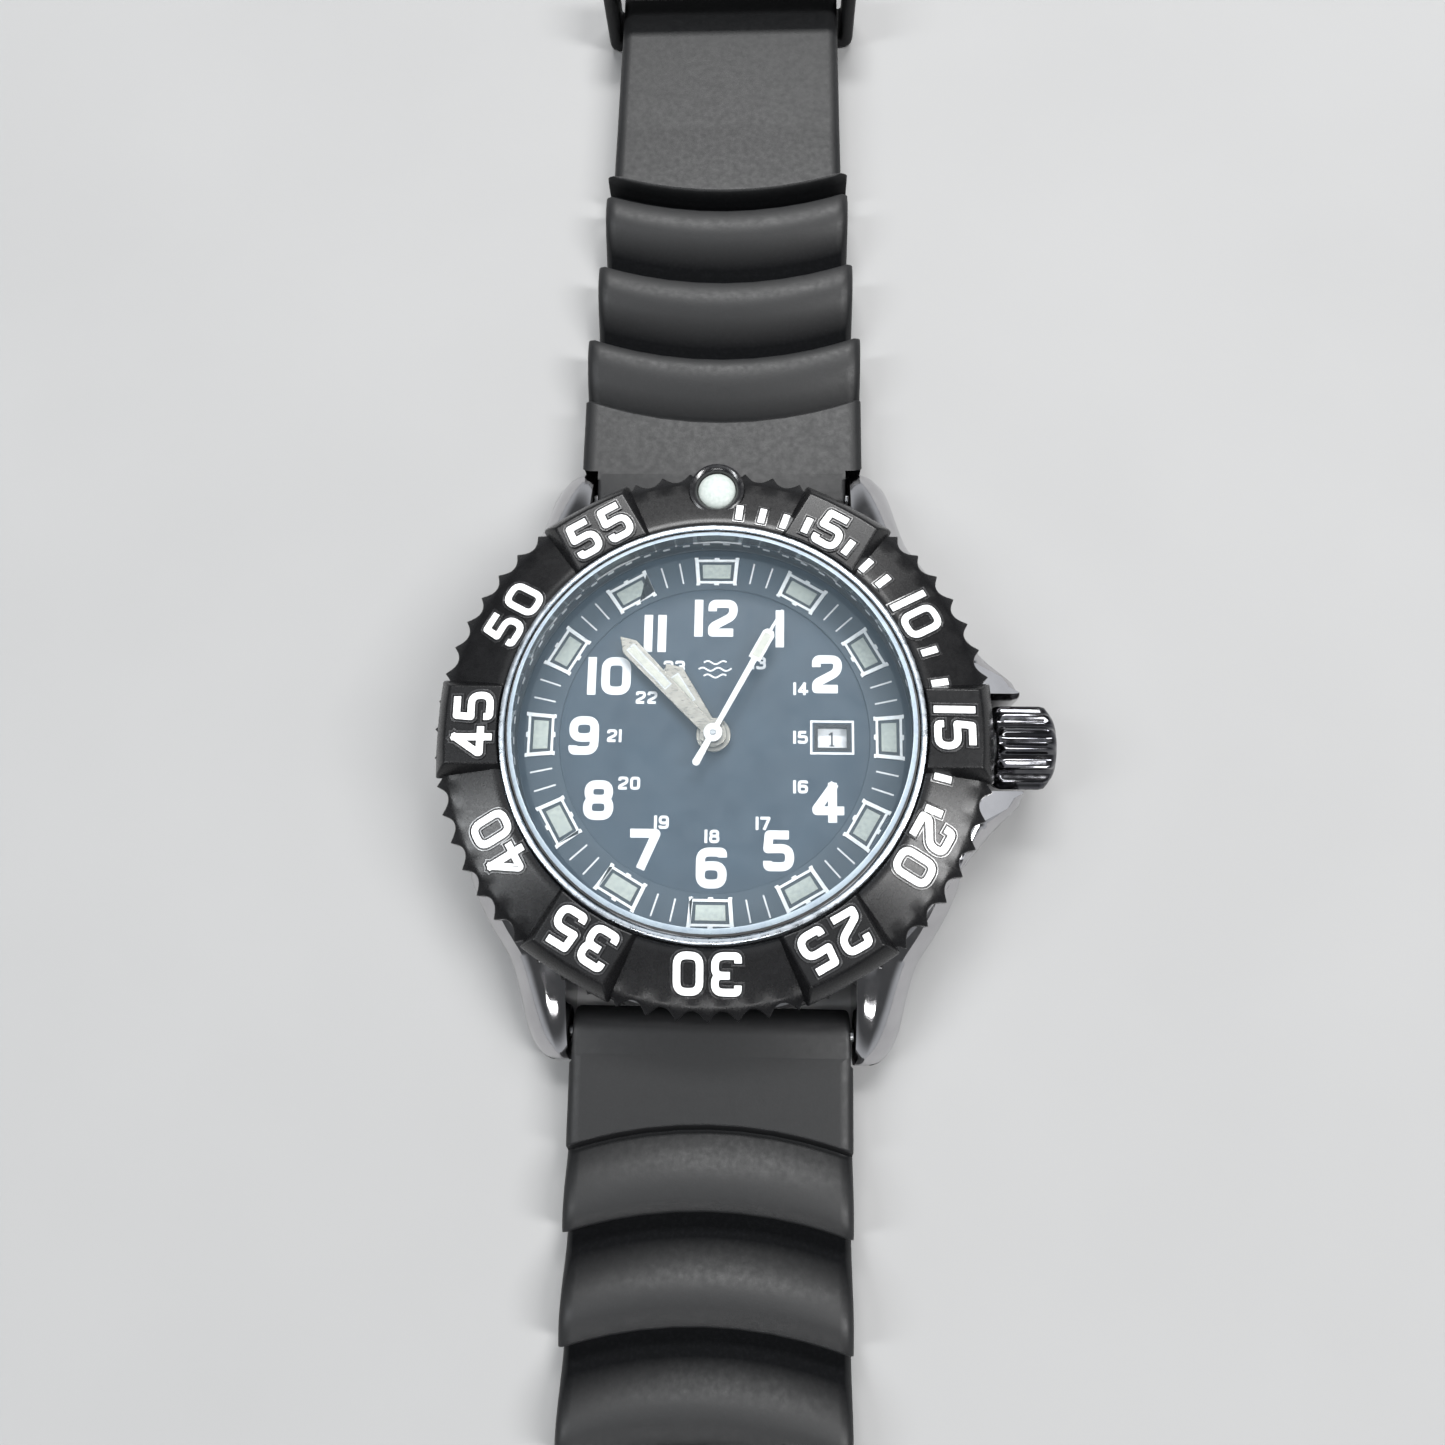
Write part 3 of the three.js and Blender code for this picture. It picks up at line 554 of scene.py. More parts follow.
def date_paper():
    look = Look("date_white", (0.7, 0.7, 0.7), 0.5)
    return look.rough(0.3, 0.44, 0.6).tint(0.8, (0.64, 0.64, 0.65)).bump(0.1, 0.001, 0.4).material


def date_ink():
    look = Look("date_ink", (0.02, 0.02, 0.025), 0.5)
    return look.rough(0.3, 0.4, 0.6).tint(0.3, (0.04, 0.04, 0.05)).bump(0.1, 0.001, 0.4).material


def metal(name, color, other, roughness):
    look = Look(name, color, roughness, 1.0)
    look.rough(0.5, roughness * 0.8, roughness * 1.3).tint(0.9, other)
    return look.bump(0.1, 0.002, 0.5, stretch=(1, 5, 1)).material


def moulded(name, color, other):
    look = Look(name, color, 0.5)
    return look.rough(0.6, 0.42, 0.58).tint(1.2, other).bump(0.15, 0.004, 0.4).material


def ground_glass():
    look = Look("ground_glass", (0.36, 0.43, 0.48), 0.3)
    return look.rough(0.4, 0.2, 0.4).tint(1.2, (0.3, 0.36, 0.42)).bump(0.2, 0.002, 0.4).material


def crystal_glass():
    """Clear glass that lets lamps through: it mirrors more the flatter it is seen, and passes the rest."""
    material = bpy.data.materials.new("crystal_glass")
    material.use_nodes = True
    tree = material.node_tree
    tree.nodes.remove(tree.nodes["Principled BSDF"])
    through = tree.nodes.new("ShaderNodeBsdfTransparent")
    through.inputs["Color"].default_value = (0.975, 0.985, 0.99, 1)
    shine = tree.nodes.new("ShaderNodeBsdfGlossy")
    shine.inputs["Color"].default_value = (0.78, 0.92, 1.0, 1)
    shine.inputs["Roughness"].default_value = 0.03
    facing = tree.nodes.new("ShaderNodeLayerWeight")
    facing.inputs["Blend"].default_value = 0.5
    steep = reckoned(tree, "POWER", facing.outputs["Facing"], 5.0)
    smudge = tree.nodes.new("ShaderNodeTexNoise")
    smudge.inputs["Scale"].default_value = 1 / (6 * MM)
    space = tree.nodes.new("ShaderNodeTexCoord")
    tree.links.new(space.outputs["Object"], smudge.inputs["Vector"])
    wave = tree.nodes.new("ShaderNodeBump")
    wave.inputs["Distance"].default_value = 0.004 * MM
    tree.links.new(smudge.outputs["Fac"], wave.inputs["Height"])
    tree.links.new(wave.outputs["Normal"], shine.inputs["Normal"])
    mix = tree.nodes.new("ShaderNodeMixShader")
    tree.links.new(mapped(tree, steep, 0, 1, SQUARE_ON_MIRROR, 1), mix.inputs["Fac"])
    tree.links.new(through.outputs["BSDF"], mix.inputs[1])
    tree.links.new(shine.outputs["BSDF"], mix.inputs[2])
    tree.links.new(mix.outputs["Shader"], tree.nodes["Material Output"].inputs["Surface"])
    return material


STEEL = polished_steel()
RIM_STEEL_PAINTED_SKY = rim_steel()
SATIN = satin_steel()
BLACK = black_coating()
GLOSS = gloss_black()
GUNMETAL = gunmetal()
RUBBER = rubber()
SEAL = seal()
ENAMEL = enamel()
PRINT = print_white()
NAVY = navy("dial_navy", (0.006, 0.021, 0.039), (0.009, 0.027, 0.047))
NAVY_RING = navy("index_ring_navy", (0.018, 0.034, 0.051), (0.022, 0.039, 0.058))
FLANGE = navy("flange_teal", (0.012, 0.021, 0.029), (0.017, 0.027, 0.036))
LUME = lume_paint("index_lume", (0.42, 0.45, 0.40), (0.32, 0.35, 0.33))
PIP_LUME = lume_paint("pip_lume", (0.4, 0.43, 0.41), (0.33, 0.37, 0.35))
HAND_LUME = lume_paint("hand_lume", (0.46, 0.45, 0.38), (0.38, 0.375, 0.33))
HAND = champagne()
HAND_WHITE = hand_paint()
DATE = date_paper()
INK = date_ink()
GLASS = crystal_glass()
GROUND_GLASS = ground_glass()
BRASS = metal("brass", (0.72, 0.53, 0.24), (0.62, 0.44, 0.2), 0.3)
COPPER = metal("coil_copper", (0.6, 0.26, 0.12), (0.45, 0.18, 0.08), 0.35)
BOARD = moulded("board_green", (0.02, 0.12, 0.06), (0.03, 0.16, 0.08))
HOLDER = moulded("holder_plastic", (0.7, 0.7, 0.66), (0.62, 0.62, 0.58))

# ---- Case ----


def lug(mirror_x, mirror_y):
    """One horn, lofted away from the barrel: a domed top with a wide outer facet, and a narrow inner one."""
    stations = [
        # y, outer x, top z, bottom z
        (8.0, 19.8, 7.6, 0.8), (11.0, 19.15, 7.55, 0.8), (13.2, 18.2, 7.4, 0.8), (15.2, 17.05, 7.15, 0.8),
        (17.0, 15.9, 6.8, 0.8), (18.8, 15.3, 6.35, 0.8), (20.5, 14.9, 5.85, 0.8), (22.0, 14.6, 5.25, 0.85),
        (23.2, 14.2, 4.6, 1.0), (24.1, 13.6, 3.95, 1.3), (24.6, 13.0, 3.4, 1.7), (24.78, 12.4, 2.9, 2.2),
    ]
    rings = []
    for y, outer, top, bottom in stations:
        tall = top - bottom
        inner = LUG_GAP_HALF
        wide = outer - inner
        facet = min(1.5, wide * 0.42)
        drop = min(1.7, tall * 0.42)
        lip = min(0.45, wide * 0.2)
        ring = [(inner + lip * 0.4, bottom), (inner, bottom + lip * 0.5), (inner, top - lip - 0.35)]
        ring += [(inner + 0.12, top - lip * 0.75), (inner + lip, top - 0.14), (inner + wide * 0.32, top)]
        ring += [(inner + (wide - facet) * 0.7, top - 0.03), (outer - facet, top - 0.3)]
        ring += [(outer - facet * 0.45, top - 0.3 - drop * 0.45), (outer - 0.1, top - 0.3 - drop)]
        ring += [(outer, top - 0.6 - drop), (outer, bottom + tall * 0.3)]
        ring += [(outer - 0.3, bottom + 0.2), (outer - 0.6, bottom)]
        rings.append([(mirror_x * x, mirror_y * y, z) for x, z in ring])
    return loft(smooth_rings(rings))


def smooth_rings(rings, times=2):
    """A loft's rings with Catmull-Rom steps put between them."""
    for _ in range(times):
        finer = []
        for i in range(len(rings) - 1):
            a = rings[max(i - 1, 0)]
            b, c = rings[i], rings[i + 1]
            d = rings[min(i + 2, len(rings) - 1)]
            finer.append(b)
            finer.append([
                tuple((9 * (q + r) - p - s) / 16 for p, q, r, s in zip(*four)) for four in zip(a, b, c, d)
            ])
        finer.append(rings[-1])
        rings = finer
    return rings


def guard(side):
    """A crown guard: a flat polished top with a bevelled outer edge, thinner towards the crown."""
    corner_points = [(17.0, 3.72), (23.75, 3.72), (24.4, 3.8, 0.5), (23.9, 4.9, 0.6), (21.6, 7.1, 6.0)]
    path = rounded(corner_points + [(18.9, 10.4), (17.0, 10.4)], 0.2, True, 6)
    core = Vector((20.0, 6.0))
    crown_side = 3.9
    levels = [(1.6, 0.55), (2.1, 0.12), (3.0, 0.0), (5.7, 0.0), (6.5, 0.35), (7.05, 0.95), (7.2, 1.25)]
    rings = []
    for z, inset in levels:
        ring = []
        for x, y in path:
            pull = Vector((x, y)) - core
            size = inset * (0.25 if y < crown_side else 1.0)
            spot = Vector((x, y)) - pull.normalized() * size
            ring.append((spot.x, side * spot.y, z))
        rings.append(ring if side > 0 else ring[::-1])
    return loft(rings)


def box_shape(x0, x1, y0, y1, z0, z1):
    return loft([[(x, y, z) for x, y in box_outline(x0, x1, y0, y1)] for z in (z0, z1)])


def rod(radius, x0, x1, y, z, steps=SMALL):
    """A round bar along X."""
    verts, faces = lathe([(0, x0), (radius, x0), (radius, x1), (0, x1)], steps)
    return [(v[2], y + v[0], z + v[1]) for v in verts], faces


def make_case():
    barrel = lathe([
        (15.85, 1.35), (16.3, 1.35), (16.3, 0.8), (19.2, 0.8), (19.7, 1.0), (20.8, 2.25), (21.3, 3.9),
        (21.4, 4.5),
        (21.4, 6.3), (21.3, 6.8), (20.95, 7.45), (20.6, 7.68), (19.85, 7.7), (19.8, 7.2), (17.1, 7.2),
        (17.05, 7.7),
        (16.45, 7.72), (16.35, 7.9), (16.35, 10.05), (16.0, 10.1), (16.0, 12.1), (15.93, 12.24), (15.8, 12.3),
        (15.6, 12.3), (15.52, 12.22), (15.5, 12.1), (15.5, 10.55), (15.3, 10.55), (15.3, 10.2), (15.85, 10.2),
    ])
    case = piece("case_middle_polished", barrel, STEEL, "case", ["case_middle"], sharp=40)
    horns = [lug(mx, my) for mx in (1, -1) for my in (1, -1)]
    boolean(case, horns + [guard(1), guard(-1)], "UNION", 28)
    gap, flank, clear = LUG_GAP_HALF, 20.4, 27
    cuts = [
        box_shape(-gap, gap, flank, clear, -1, 9), box_shape(-gap, gap, -clear, -flank, -1, 9),
        box_shape(21.3, clear, -3.7, 3.7, -1, 9),
        lathe([(0, -1), (16.3, -1), (16.3, 1.35), (15.85, 1.35), (15.85, 10.2), (0, 10.2)]),
        rod(1.65, 14, 23, 0, STEM_Z),
        rod(0.55, -12.9, 12.9, BAR_Y, BAR_Z), rod(0.55, -12.9, 12.9, -BAR_Y, BAR_Z),
    ]
    boolean(case, cuts, "DIFFERENCE", 28)
    brush_rim(case)


def brush_rim(case):
    """The rim round the crystal is brushed, not polished; the blue cast of its steel is a painted sky
    reflection.
    """
    ledge_z, ledge_r = 10.2, 15.45
    case.data.materials.append(RIM_STEEL_PAINTED_SKY)
    for face in case.data.polygons:
        spot = face.center / MM
        if spot.z > ledge_z and math.hypot(spot.x, spot.y) > ledge_r:
            face.material_index = 1


def make_case_back():
    body = lathe([
        (0, 0.0), (6.0, 0.0), (6.1, 0.06), (6.3, 0.06), (6.4, 0.0), (12.4, 0.0), (12.6, 0.16), (13.2, 0.16),
        (13.4, 0.0), (15.5, 0.0), (15.75, 0.06), (16.05, 0.4), (16.1, 0.6), (16.1, 1.25), (15.6, 1.25),
        (15.6, 2.1),
        (14.4, 2.1), (14.4, 1.2), (0, 1.2),
    ])
    back = piece("case_back_brushed", body, SATIN, "case", ["case_back"])
    notch = box_shape(14.1, 15.4, -1.1, 1.1, -0.5, 0.5)
    boolean(back, [turned(notch, 30 + 60 * i) for i in range(6)], "DIFFERENCE", 28)


# ---- Bezel ----
LOW_PROFILE = [(16.12, 11.32), (16.3, 11.42), (16.8, 11.4), (ROOT_R, 10.5), (TIP_R, 9.98)]
BLOCK_PROFILE = [(16.0, BLOCK_TOP), (17.0, BLOCK_TOP), (20.2, BLOCK_TOP - 0.15), (21.2, 10.1)]


def along_profile(profile, radius):
    """Height of a profile at a radius."""
    if radius <= profile[0][0]:
        return profile[0][1]
    for (r0, z0), (r1, z1) in zip(profile, profile[1:]):
        if radius <= r1:
            return z0 + (z1 - z0) * (radius - r0) / (r1 - r0)
    return profile[-1][1]


def scallop(turn):
    """Outer radius of the toothed edge: hollow valleys between rounded tips, one tip at 12 o'clock."""
    share = ((turn - math.pi / 2) / (2 * math.pi / TEETH)) % 1
    away = abs(2 * share - 1)
    tip = min(1.0, away ** 2.1 * 1.06)
    return ROOT_R + (TIP_R - ROOT_R) * tip


def bezel_ring_shape():
    total = TEETH * 16
    chamfer = 0.12
    rings = []
    for i in range(total):
        turn = 2 * math.pi * i / total
        edge = scallop(turn)
        top_at_edge = along_profile(LOW_PROFILE, edge)
        section = [(16.95, BEZEL_BOTTOM), (ROOT_R - 0.2, BEZEL_BOTTOM), (ROOT_R - 0.05, BEZEL_BOTTOM + 0.1)]
        section += [(edge - 0.1, 8.5), (edge, 8.62)]
        section += [(edge, top_at_edge - chamfer - 0.06), (edge - 0.03, top_at_edge - chamfer * 0.5)]
        section += [(edge - chamfer, top_at_edge + 0.02)]
        for radius in (20.2, 19.3, 18.4, 17.6, 16.95):
            section.append((radius, along_profile(LOW_PROFILE, radius)))
        section += [(16.55, 11.44), (16.3, 11.42), (16.16, 11.32), (16.12, 11.15), (16.12, 10.3),
        (16.95, 10.3)]
        rings.append([(radius * math.cos(turn), radius * math.sin(turn), z) for radius, z in section])
    return loft(rings, closed=True)


def block_outline(half, inner, outer):
    """A raised block from above, at 3 o'clock: curved along the crystal, slightly bowed at the teeth."""
    outward = [(outer, -half), (outer + 0.12, -half * 0.5), (outer + 0.15, 0), (outer + 0.12, half * 0.5)]
    inward = []
    for share in (1, 0.6, 0.2, -0.2, -0.6, -1):
        y = half * share
        inward.append((math.sqrt(max(inner ** 2 - y ** 2, 0)), y))
    return outward + [(outer, half)] + inward


def block_shape():
    levels = [(10.0, 3.9, 21.1), (10.5, 3.75, 20.95), (11.2, 3.45, 20.55), (BLOCK_TOP - 0.3, 3.12, 20.14)]
    rings = [[(x, y, z) for x, y in block_outline(half, 16.14, outer)] for z, half, outer in levels]
    rings.append([(x, y, along_profile(BLOCK_PROFILE, x) - 0.02) for x, y in block_outline(3.0, 16.2, 19.95)])
    return loft(rings)


def bezel_height(on_block):
    """A function for the height of the bezel's top, on the raised blocks or between them."""
    profile = BLOCK_PROFILE if on_block else LOW_PROFILE

    def height(x, y):
        return along_profile(profile, math.hypot(x, y))
    return height


# Digits as centre lines in a box one unit wide and tall; a third number is that corner's own rounding.
GLYPHS = {
    "0": [([(0, 0), (1, 0), (1, 1), (0, 1)], True)],
    "1": [([(0.5, 0), (0.5, 1)], False)],
    "2": [([(0, 0.74), (0, 1), (1, 1), (1, 0.58, 0.5), (0.0, 0.2, 0.3), (0, 0, 0.02), (1, 0)], False)],
    "3": [([(0, 0.8), (0, 1), (1, 1), (1, 0.54), (0.35, 0.54)], False),
          ([(0.35, 0.54), (1, 0.54), (1, 0), (0, 0), (0, 0.2)], False)],
    "4": [([(0.72, 0), (0.72, 1)], False), ([(0.72, 1), (0, 0.3, 0.03), (0, 0.24, 0.02),
    (1.05, 0.24)], False)],
    "5": [([(0.96, 1), (0.06, 1, 0.03), (0.0, 0.56, 0.02), (1, 0.58), (1, 0), (0, 0), (0, 0.18)], False)],
    "6": [([(0, 0), (1, 0), (1, 0.57), (0, 0.57)], True), ([(0, 0.3), (0, 1), (1, 1), (1, 0.83)], False)],
    "7": [([(0, 1), (1, 1, 0.04), (0.38, 0)], False)],
    "8": [([(0, 0), (1, 0), (1, 0.53), (0, 0.53)], True),
          ([(0.04, 0.53), (0.96, 0.53), (0.96, 1), (0.04, 1)], True)],
    "9": [([(0, 0.43), (1, 0.43), (1, 1), (0, 1)], True), ([(1, 0.7), (1, 0), (0, 0), (0, 0.17)], False)],
}


def number(text, width, height, stroke, gap, rounding=0.42, grow=0.0):
    """Flat polygons of a number centred on the origin; grow widens every stroke evenly."""
    wide = [stroke if c == "1" else width for c in text]
    left = -(sum(wide) + gap * (len(text) - 1)) / 2
    tall = height - stroke
    polygons = []
    for c, extent in zip(text, wide):
        inner = max(extent - stroke, 0)
        for path, closed in GLYPHS[c]:
            points = []
            for point in path:
                u = left + stroke / 2 + (point[0] if inner else 0.5) * inner
                v = -tall / 2 + point[1] * tall
                corner = (point[2] if len(point) > 2 else rounding) * max(inner, 0.5)
                points.append((u, v, corner))
            line = rounded(points, 0, closed)
            if not closed:
                line = lengthened(line, (stroke / 2 if c in "147" else 0.0) + grow)
            polygons += ribbon(line, stroke + 2 * grow, closed)
        left += extent + gap
    return polygons


def lengthened(line, reach):
    """An open line with both ends carried on."""
    first = Vector(line[0]) + (Vector(line[0]) - Vector(line[1])).normalized() * reach
    last = Vector(line[-1]) + (Vector(line[-1]) - Vector(line[-2])).normalized() * reach
    return [tuple(first)] + list(line[1:-1]) + [tuple(last)]


def bar(width, height, grow=0.0):
    """An upright bar centred on the origin."""
    a, b = width / 2 + grow, height / 2 + grow
    return [box_outline(-a, a, -b, b)]


def clock_place(angle, centre_radius, height_at):
    """Lays a flat figure on the bezel or dial with its top outwards at this clock angle in degrees."""
    turn = math.radians(90 - angle)
    out = Vector((math.cos(turn), math.sin(turn)))
    right = Vector((math.sin(turn), -math.cos(turn)))

    def place(u, v, lift):
        spot = out * (centre_radius + v) + right * u
        return spot.x, spot.y, height_at(spot.x, spot.y) + lift
    return place


def make_bezel_figures():
    """White numerals every five minutes and bars near them, each in a raised black lip."""
    white, lips = [], []
    size = dict(width=2.2, height=3.1, stroke=0.55, gap=0.55)
    for k in range(1, 12):
        text = str(5 * k)
        place = clock_place(30 * k, 18.0, bezel_height(k % 2 == 1))
        white.append(slab(union(number(text, **size)), place, -0.05, 0.13))
        lip = union(number(text, grow=0.24, **size), number(text, grow=0.1, **size))
        lips.append(slab(lip, place, -0.12, 0.09))
    for minute in (1, 2, 3, 4, 6, 7, 8, 11.6, 13, 17, 18.4):
        place = clock_place(6 * minute, 17.5, bezel_height(minute in (4, 6)))
        white.append(slab(union(bar(0.55, 1.35)), place, -0.05, 0.12))
        lips.append(slab(union(bar(0.55, 1.35, 0.22), bar(0.55, 1.35, 0.09)), place, -0.12, 0.08))
    piece("bezel_numerals", joined(*white), ENAMEL, "bezel", tidy=True, bevel=0.045, sharp=40)
    piece("bezel_numeral_lips", joined(*lips), GLOSS, "bezel",
          tidy=True, bevel=0.035, sharp=40)


def make_pip():
    """The luminous pip at 12 o'clock, domed, in its collar."""
    collar = [(1.55, 10.3), (2.2, 10.3), (2.24, 10.95), (2.16, 11.14), (1.98, 11.2), (1.76, 11.12),
    (1.6, 10.95)]
    collar_shape = lathe(collar + [(1.55, 10.8)], FINE, (0, PIP_Y))
    piece("bezel_pip_collar", collar_shape, GLOSS, "bezel")
    dome_r, dome_z = 1.52, 10.6
    profile = [(0, 9.25), (1.62, 9.25), (1.7, 9.35), (1.7, 10.2), (dome_r, 10.35), (dome_r, dome_z)]
    for degrees in range(10, 90, 10):
        a = math.radians(degrees)
        profile.append((dome_r * math.cos(a), dome_z + (PIP_TOP - dome_z) * math.sin(a)))
    pip = lathe(profile + [(0, PIP_TOP)], FINE, (0, PIP_Y))
    piece("bezel_pip_lume", pip, PIP_LUME, "bezel", ["bezel_pip"])


def make_bezel():
    ring = piece("bezel_ring", bezel_ring_shape(), BLACK, "bezel", ["bezel"], sharp=50)
    pip_hole = lathe([(0, 9.2), (1.78, 9.2), (1.78, 13), (0, 13)], FINE, (0, PIP_Y))
    boolean(ring, [pip_hole], "DIFFERENCE", 50)
    for k in (1, 3, 5, 7, 9, 11):
        block = turned(block_shape(), 90 - 30 * k)
        piece(f"bezel_block_{5 * k:02d}", block, BLACK, "bezel",
              sharp=24, bevel=0.14, segments=3)
    make_bezel_figures()
    make_pip()


# ---- Crown ----


def make_crown():
    """Turned about X: rounded end, fourteen round-bottomed flutes, and the bore that covers the tube."""
    flutes = 14
    steps = flutes * 14
    outer = [
        # x, radius, share of the flutes' depth
        (CROWN_START, 2.7, 0.0), (CROWN_START + 0.15, 3.05, 0.1), (CROWN_START + 0.45, CROWN_R - 0.06, 0.7),
        (CROWN_START + 0.7, CROWN_R, 1.0), (CROWN_END - 1.0, CROWN_R, 1.0),
        (CROWN_END - 0.6, CROWN_R - 0.1, 0.8),
        (CROWN_END - 0.3, CROWN_R - 0.45, 0.25), (CROWN_END - 0.08, 2.6, 0.0), (CROWN_END, 2.2, 0.0),
    ]
    inner = [(CROWN_END, 1.2), (CROWN_END - 0.06, 0.02)]
    bore = [(CROWN_END - 1.6, 0.02), (CROWN_END - 1.6, 2.1), (CROWN_START, 2.1)]
    rings = []
    for i in range(steps):
        turn = 2 * math.pi * i / steps
        wave = 0.5 - 0.5 * math.cos(flutes * turn)
        groove = 0.46 * min(1.0, 1.25 * wave ** 0.8)
        ring = [(x, radius - groove * share) for x, radius, share in outer] + inner + bore
        rings.append([(x, radius * math.cos(turn), STEM_Z + radius * math.sin(turn)) for x, radius in ring])
    piece("crown_fluted", loft(rings, closed=True), GUNMETAL, "crown", ["crown"], sharp=45)


# ---- Crystal and dial ----


def make_crystal():
    radius, top = CRYSTAL_R, CRYSTAL_TOP
    profile = [
        (0, CRYSTAL_BOTTOM), (radius - 0.1, CRYSTAL_BOTTOM), (radius, CRYSTAL_BOTTOM + 0.1),
        (radius, top - 0.5), (radius - 0.36, top - 0.06), (radius - 0.4, top), (0, top),
    ]
    piece("crystal_flat", lathe(profile), GLASS, "case", ["crystal"], sharp=8)
    bevel = [
        (radius, top - 0.49), (radius, top - 0.34), (radius - 0.05, top - 0.28), (radius - 0.33, top - 0.01),
        (radius - 0.39, top), (radius - 0.35, top - 0.06),
    ]
    piece("crystal_ground_edge", lathe(bevel), GROUND_GLASS, "case", sharp=60)


WINDOW = (8.1, 10.35, 0.8)  # date window: left, right, half height
DATE_FRAME = (7.5, 10.9, 1.35)
HOURS_AT_R = 13.57  # middle of the hour markers


def make_dial():
    left, right, half = WINDOW
    window = box_outline(left, right, -half, half)
    area = area_with_holes(circle(DIAL_R, 180), [window, circle(1.0, 24)])
    plate = slab(area, flat_place, DIAL_BOTTOM, DIAL_TOP)
    piece("dial_plate", plate, NAVY, "case", ["dial"], tidy=True)
    ring = lathe([
        (12.1, DIAL_TOP), (DIAL_R, DIAL_TOP), (DIAL_R, INDEX_TOP - 0.02), (15.6, INDEX_TOP),
        (15.42, INDEX_TOP),
        (15.4, INDEX_TOP - 0.06), (15.36, INDEX_TOP - 0.06), (15.34, INDEX_TOP), (12.16, INDEX_TOP),
        (12.1, INDEX_TOP - 0.05),
    ])
    piece("index_ring_lacquer", ring, NAVY_RING, "case", ["index_ring"])


def on_index_ring(x, y):
    return INDEX_TOP


def index_frame():
    """White border of an hour marker, with corner and middle tabs: polygons with the top outwards."""
    # half widths at the top and bottom, half height, width of the sides
    outer, inner, high, line = 1.78, 1.6, 1.02, 0.3
    polygons = []
    for sign in (-1, 1):
        polygons.append([(sign * inner, -high), (sign * (inner - line), -high),
                         (sign * (outer - line), high), (sign * outer, high)])
    polygons.append(box_outline(-inner, inner, -high, -high + 0.2))
    polygons.append(box_outline(-outer, outer, high - 0.2, high))
    for x, y0, y1, half in (
        (0, high, high + 0.14, 0.2), (0, -high - 0.14, -high, 0.2),
        (outer - 0.12, high, high + 0.16, 0.16), (-outer + 0.12, high, high + 0.16, 0.16),
        (inner - 0.12, -high - 0.16, -high, 0.16), (-inner + 0.12, -high - 0.16, -high, 0.16),
    ):
        polygons.append(box_outline(x - half, x + half, y0, y1))
    return polygons


def on_dial(cx=0.0, cy=0.0):
    """Lays an upright figure on the dial round this point."""
    def place(u, v, lift):
        return cx + u, cy + v, DIAL_TOP + lift
    return place


def on_dial_at(hour, radius):
    turn = math.radians(90 - 30 * hour)
    return on_dial(radius * math.cos(turn), radius * math.sin(turn))


def dial_ticks():
    """Thin white minute lines between the hour markers."""
    ticks = []
    for hour in range(12):
        for step in (12, 18):
            place = clock_place(30 * hour + step, 13.7, on_index_ring)
            ticks.append(slab(union(bar(0.13, 1.75)), place, -0.01, 0.025))
    return ticks


def dial_numbers():
    """The large hours, none at the date window, and the small 13 to 23 inside them."""
    numbers = []
    for hour in (12, 1, 2, 4, 5, 6, 7, 8, 9, 10, 11):
        figure = number(str(hour), width=2.35, height=3.1, stroke=0.68, gap=0.42, rounding=0.4)
        numbers.append(slab(union(figure), on_dial_at(hour, 9.7 if hour > 9 else 10.2), -0.01, 0.03))
    radii = {13: 6.9, 15: 6.75, 20: 7.5, 22: 6.2, 23: 6.5}
    for hour in range(13, 24):
        figure = number(str(hour), width=0.78, height=1.02, stroke=0.22, gap=0.14, rounding=0.35)
        numbers.append(slab(union(figure), on_dial_at(hour - 12, radii.get(hour, 7.8)), -0.01, 0.025))
    return numbers


def dial_waves():
    """A plain mark of three waves under the 12."""
    steps, wavelength, swing = 40, 0.62, 0.13
    waves = []
    for row, half in ((6.0, 0.9), (5.45, 1.3), (4.9, 0.9)):
        wave = []
        for i in range(steps + 1):
            rise = swing * math.sin(i / steps * half * 2 * math.pi / wavelength)
            wave.append((-half + 2 * half * i / steps, row + rise))
        waves.append(slab(union(ribbon(wave, 0.13)), on_dial(), -0.01, 0.025))
    return waves


def window_border(left, right, half, line):
    """Four bars just outside a window."""
    wide = (left - line, right + line)
    return [
        box_outline(*wide, -half - line, -half), box_outline(*wide, half, half + line),
        box_outline(left - line, left, -half, half), box_outline(right, right + line, -half, half),
    ]


def make_dial_marks():
    """Prints, raised markers and lume on the dial."""
    markers, wells, lume = [], [], []
    for hour in range(12):
        place = clock_place(30 * hour, HOURS_AT_R, on_index_ring)
        markers.append(slab(union(index_frame()), place, -0.01, 0.14))
        wells.append(slab(union([tapered(-0.84, 1.32, 0.84, 1.42)]), place, -0.01, 0.02))
        lume.append(slab(union([tapered(-0.58, 1.1, 0.58, 1.16)]), place, 0.0, 0.1))
    left, right, half = DATE_FRAME
    line = 0.17
    frame_bars = window_border(left + line, right - line, half - line, line)
    prints = dial_ticks() + dial_numbers() + dial_waves() + [slab(union(frame_bars), on_dial(), -0.01, 0.05)]
    piece("dial_prints", joined(*prints), PRINT, "case", tidy=True)
    piece("index_frames", joined(*markers), ENAMEL, "case", tidy=True, bevel=0.02, segments=1)
    piece("index_wells", joined(*wells), FLANGE, "case", tidy=True)
    piece("index_lume", joined(*lume), LUME, "case", tidy=True, bevel=0.03)
    surround = slab(union(window_border(*WINDOW, 0.28)), on_dial(), -0.3, 0.02)
    piece("date_surround", surround, GLOSS, "case", tidy=True)


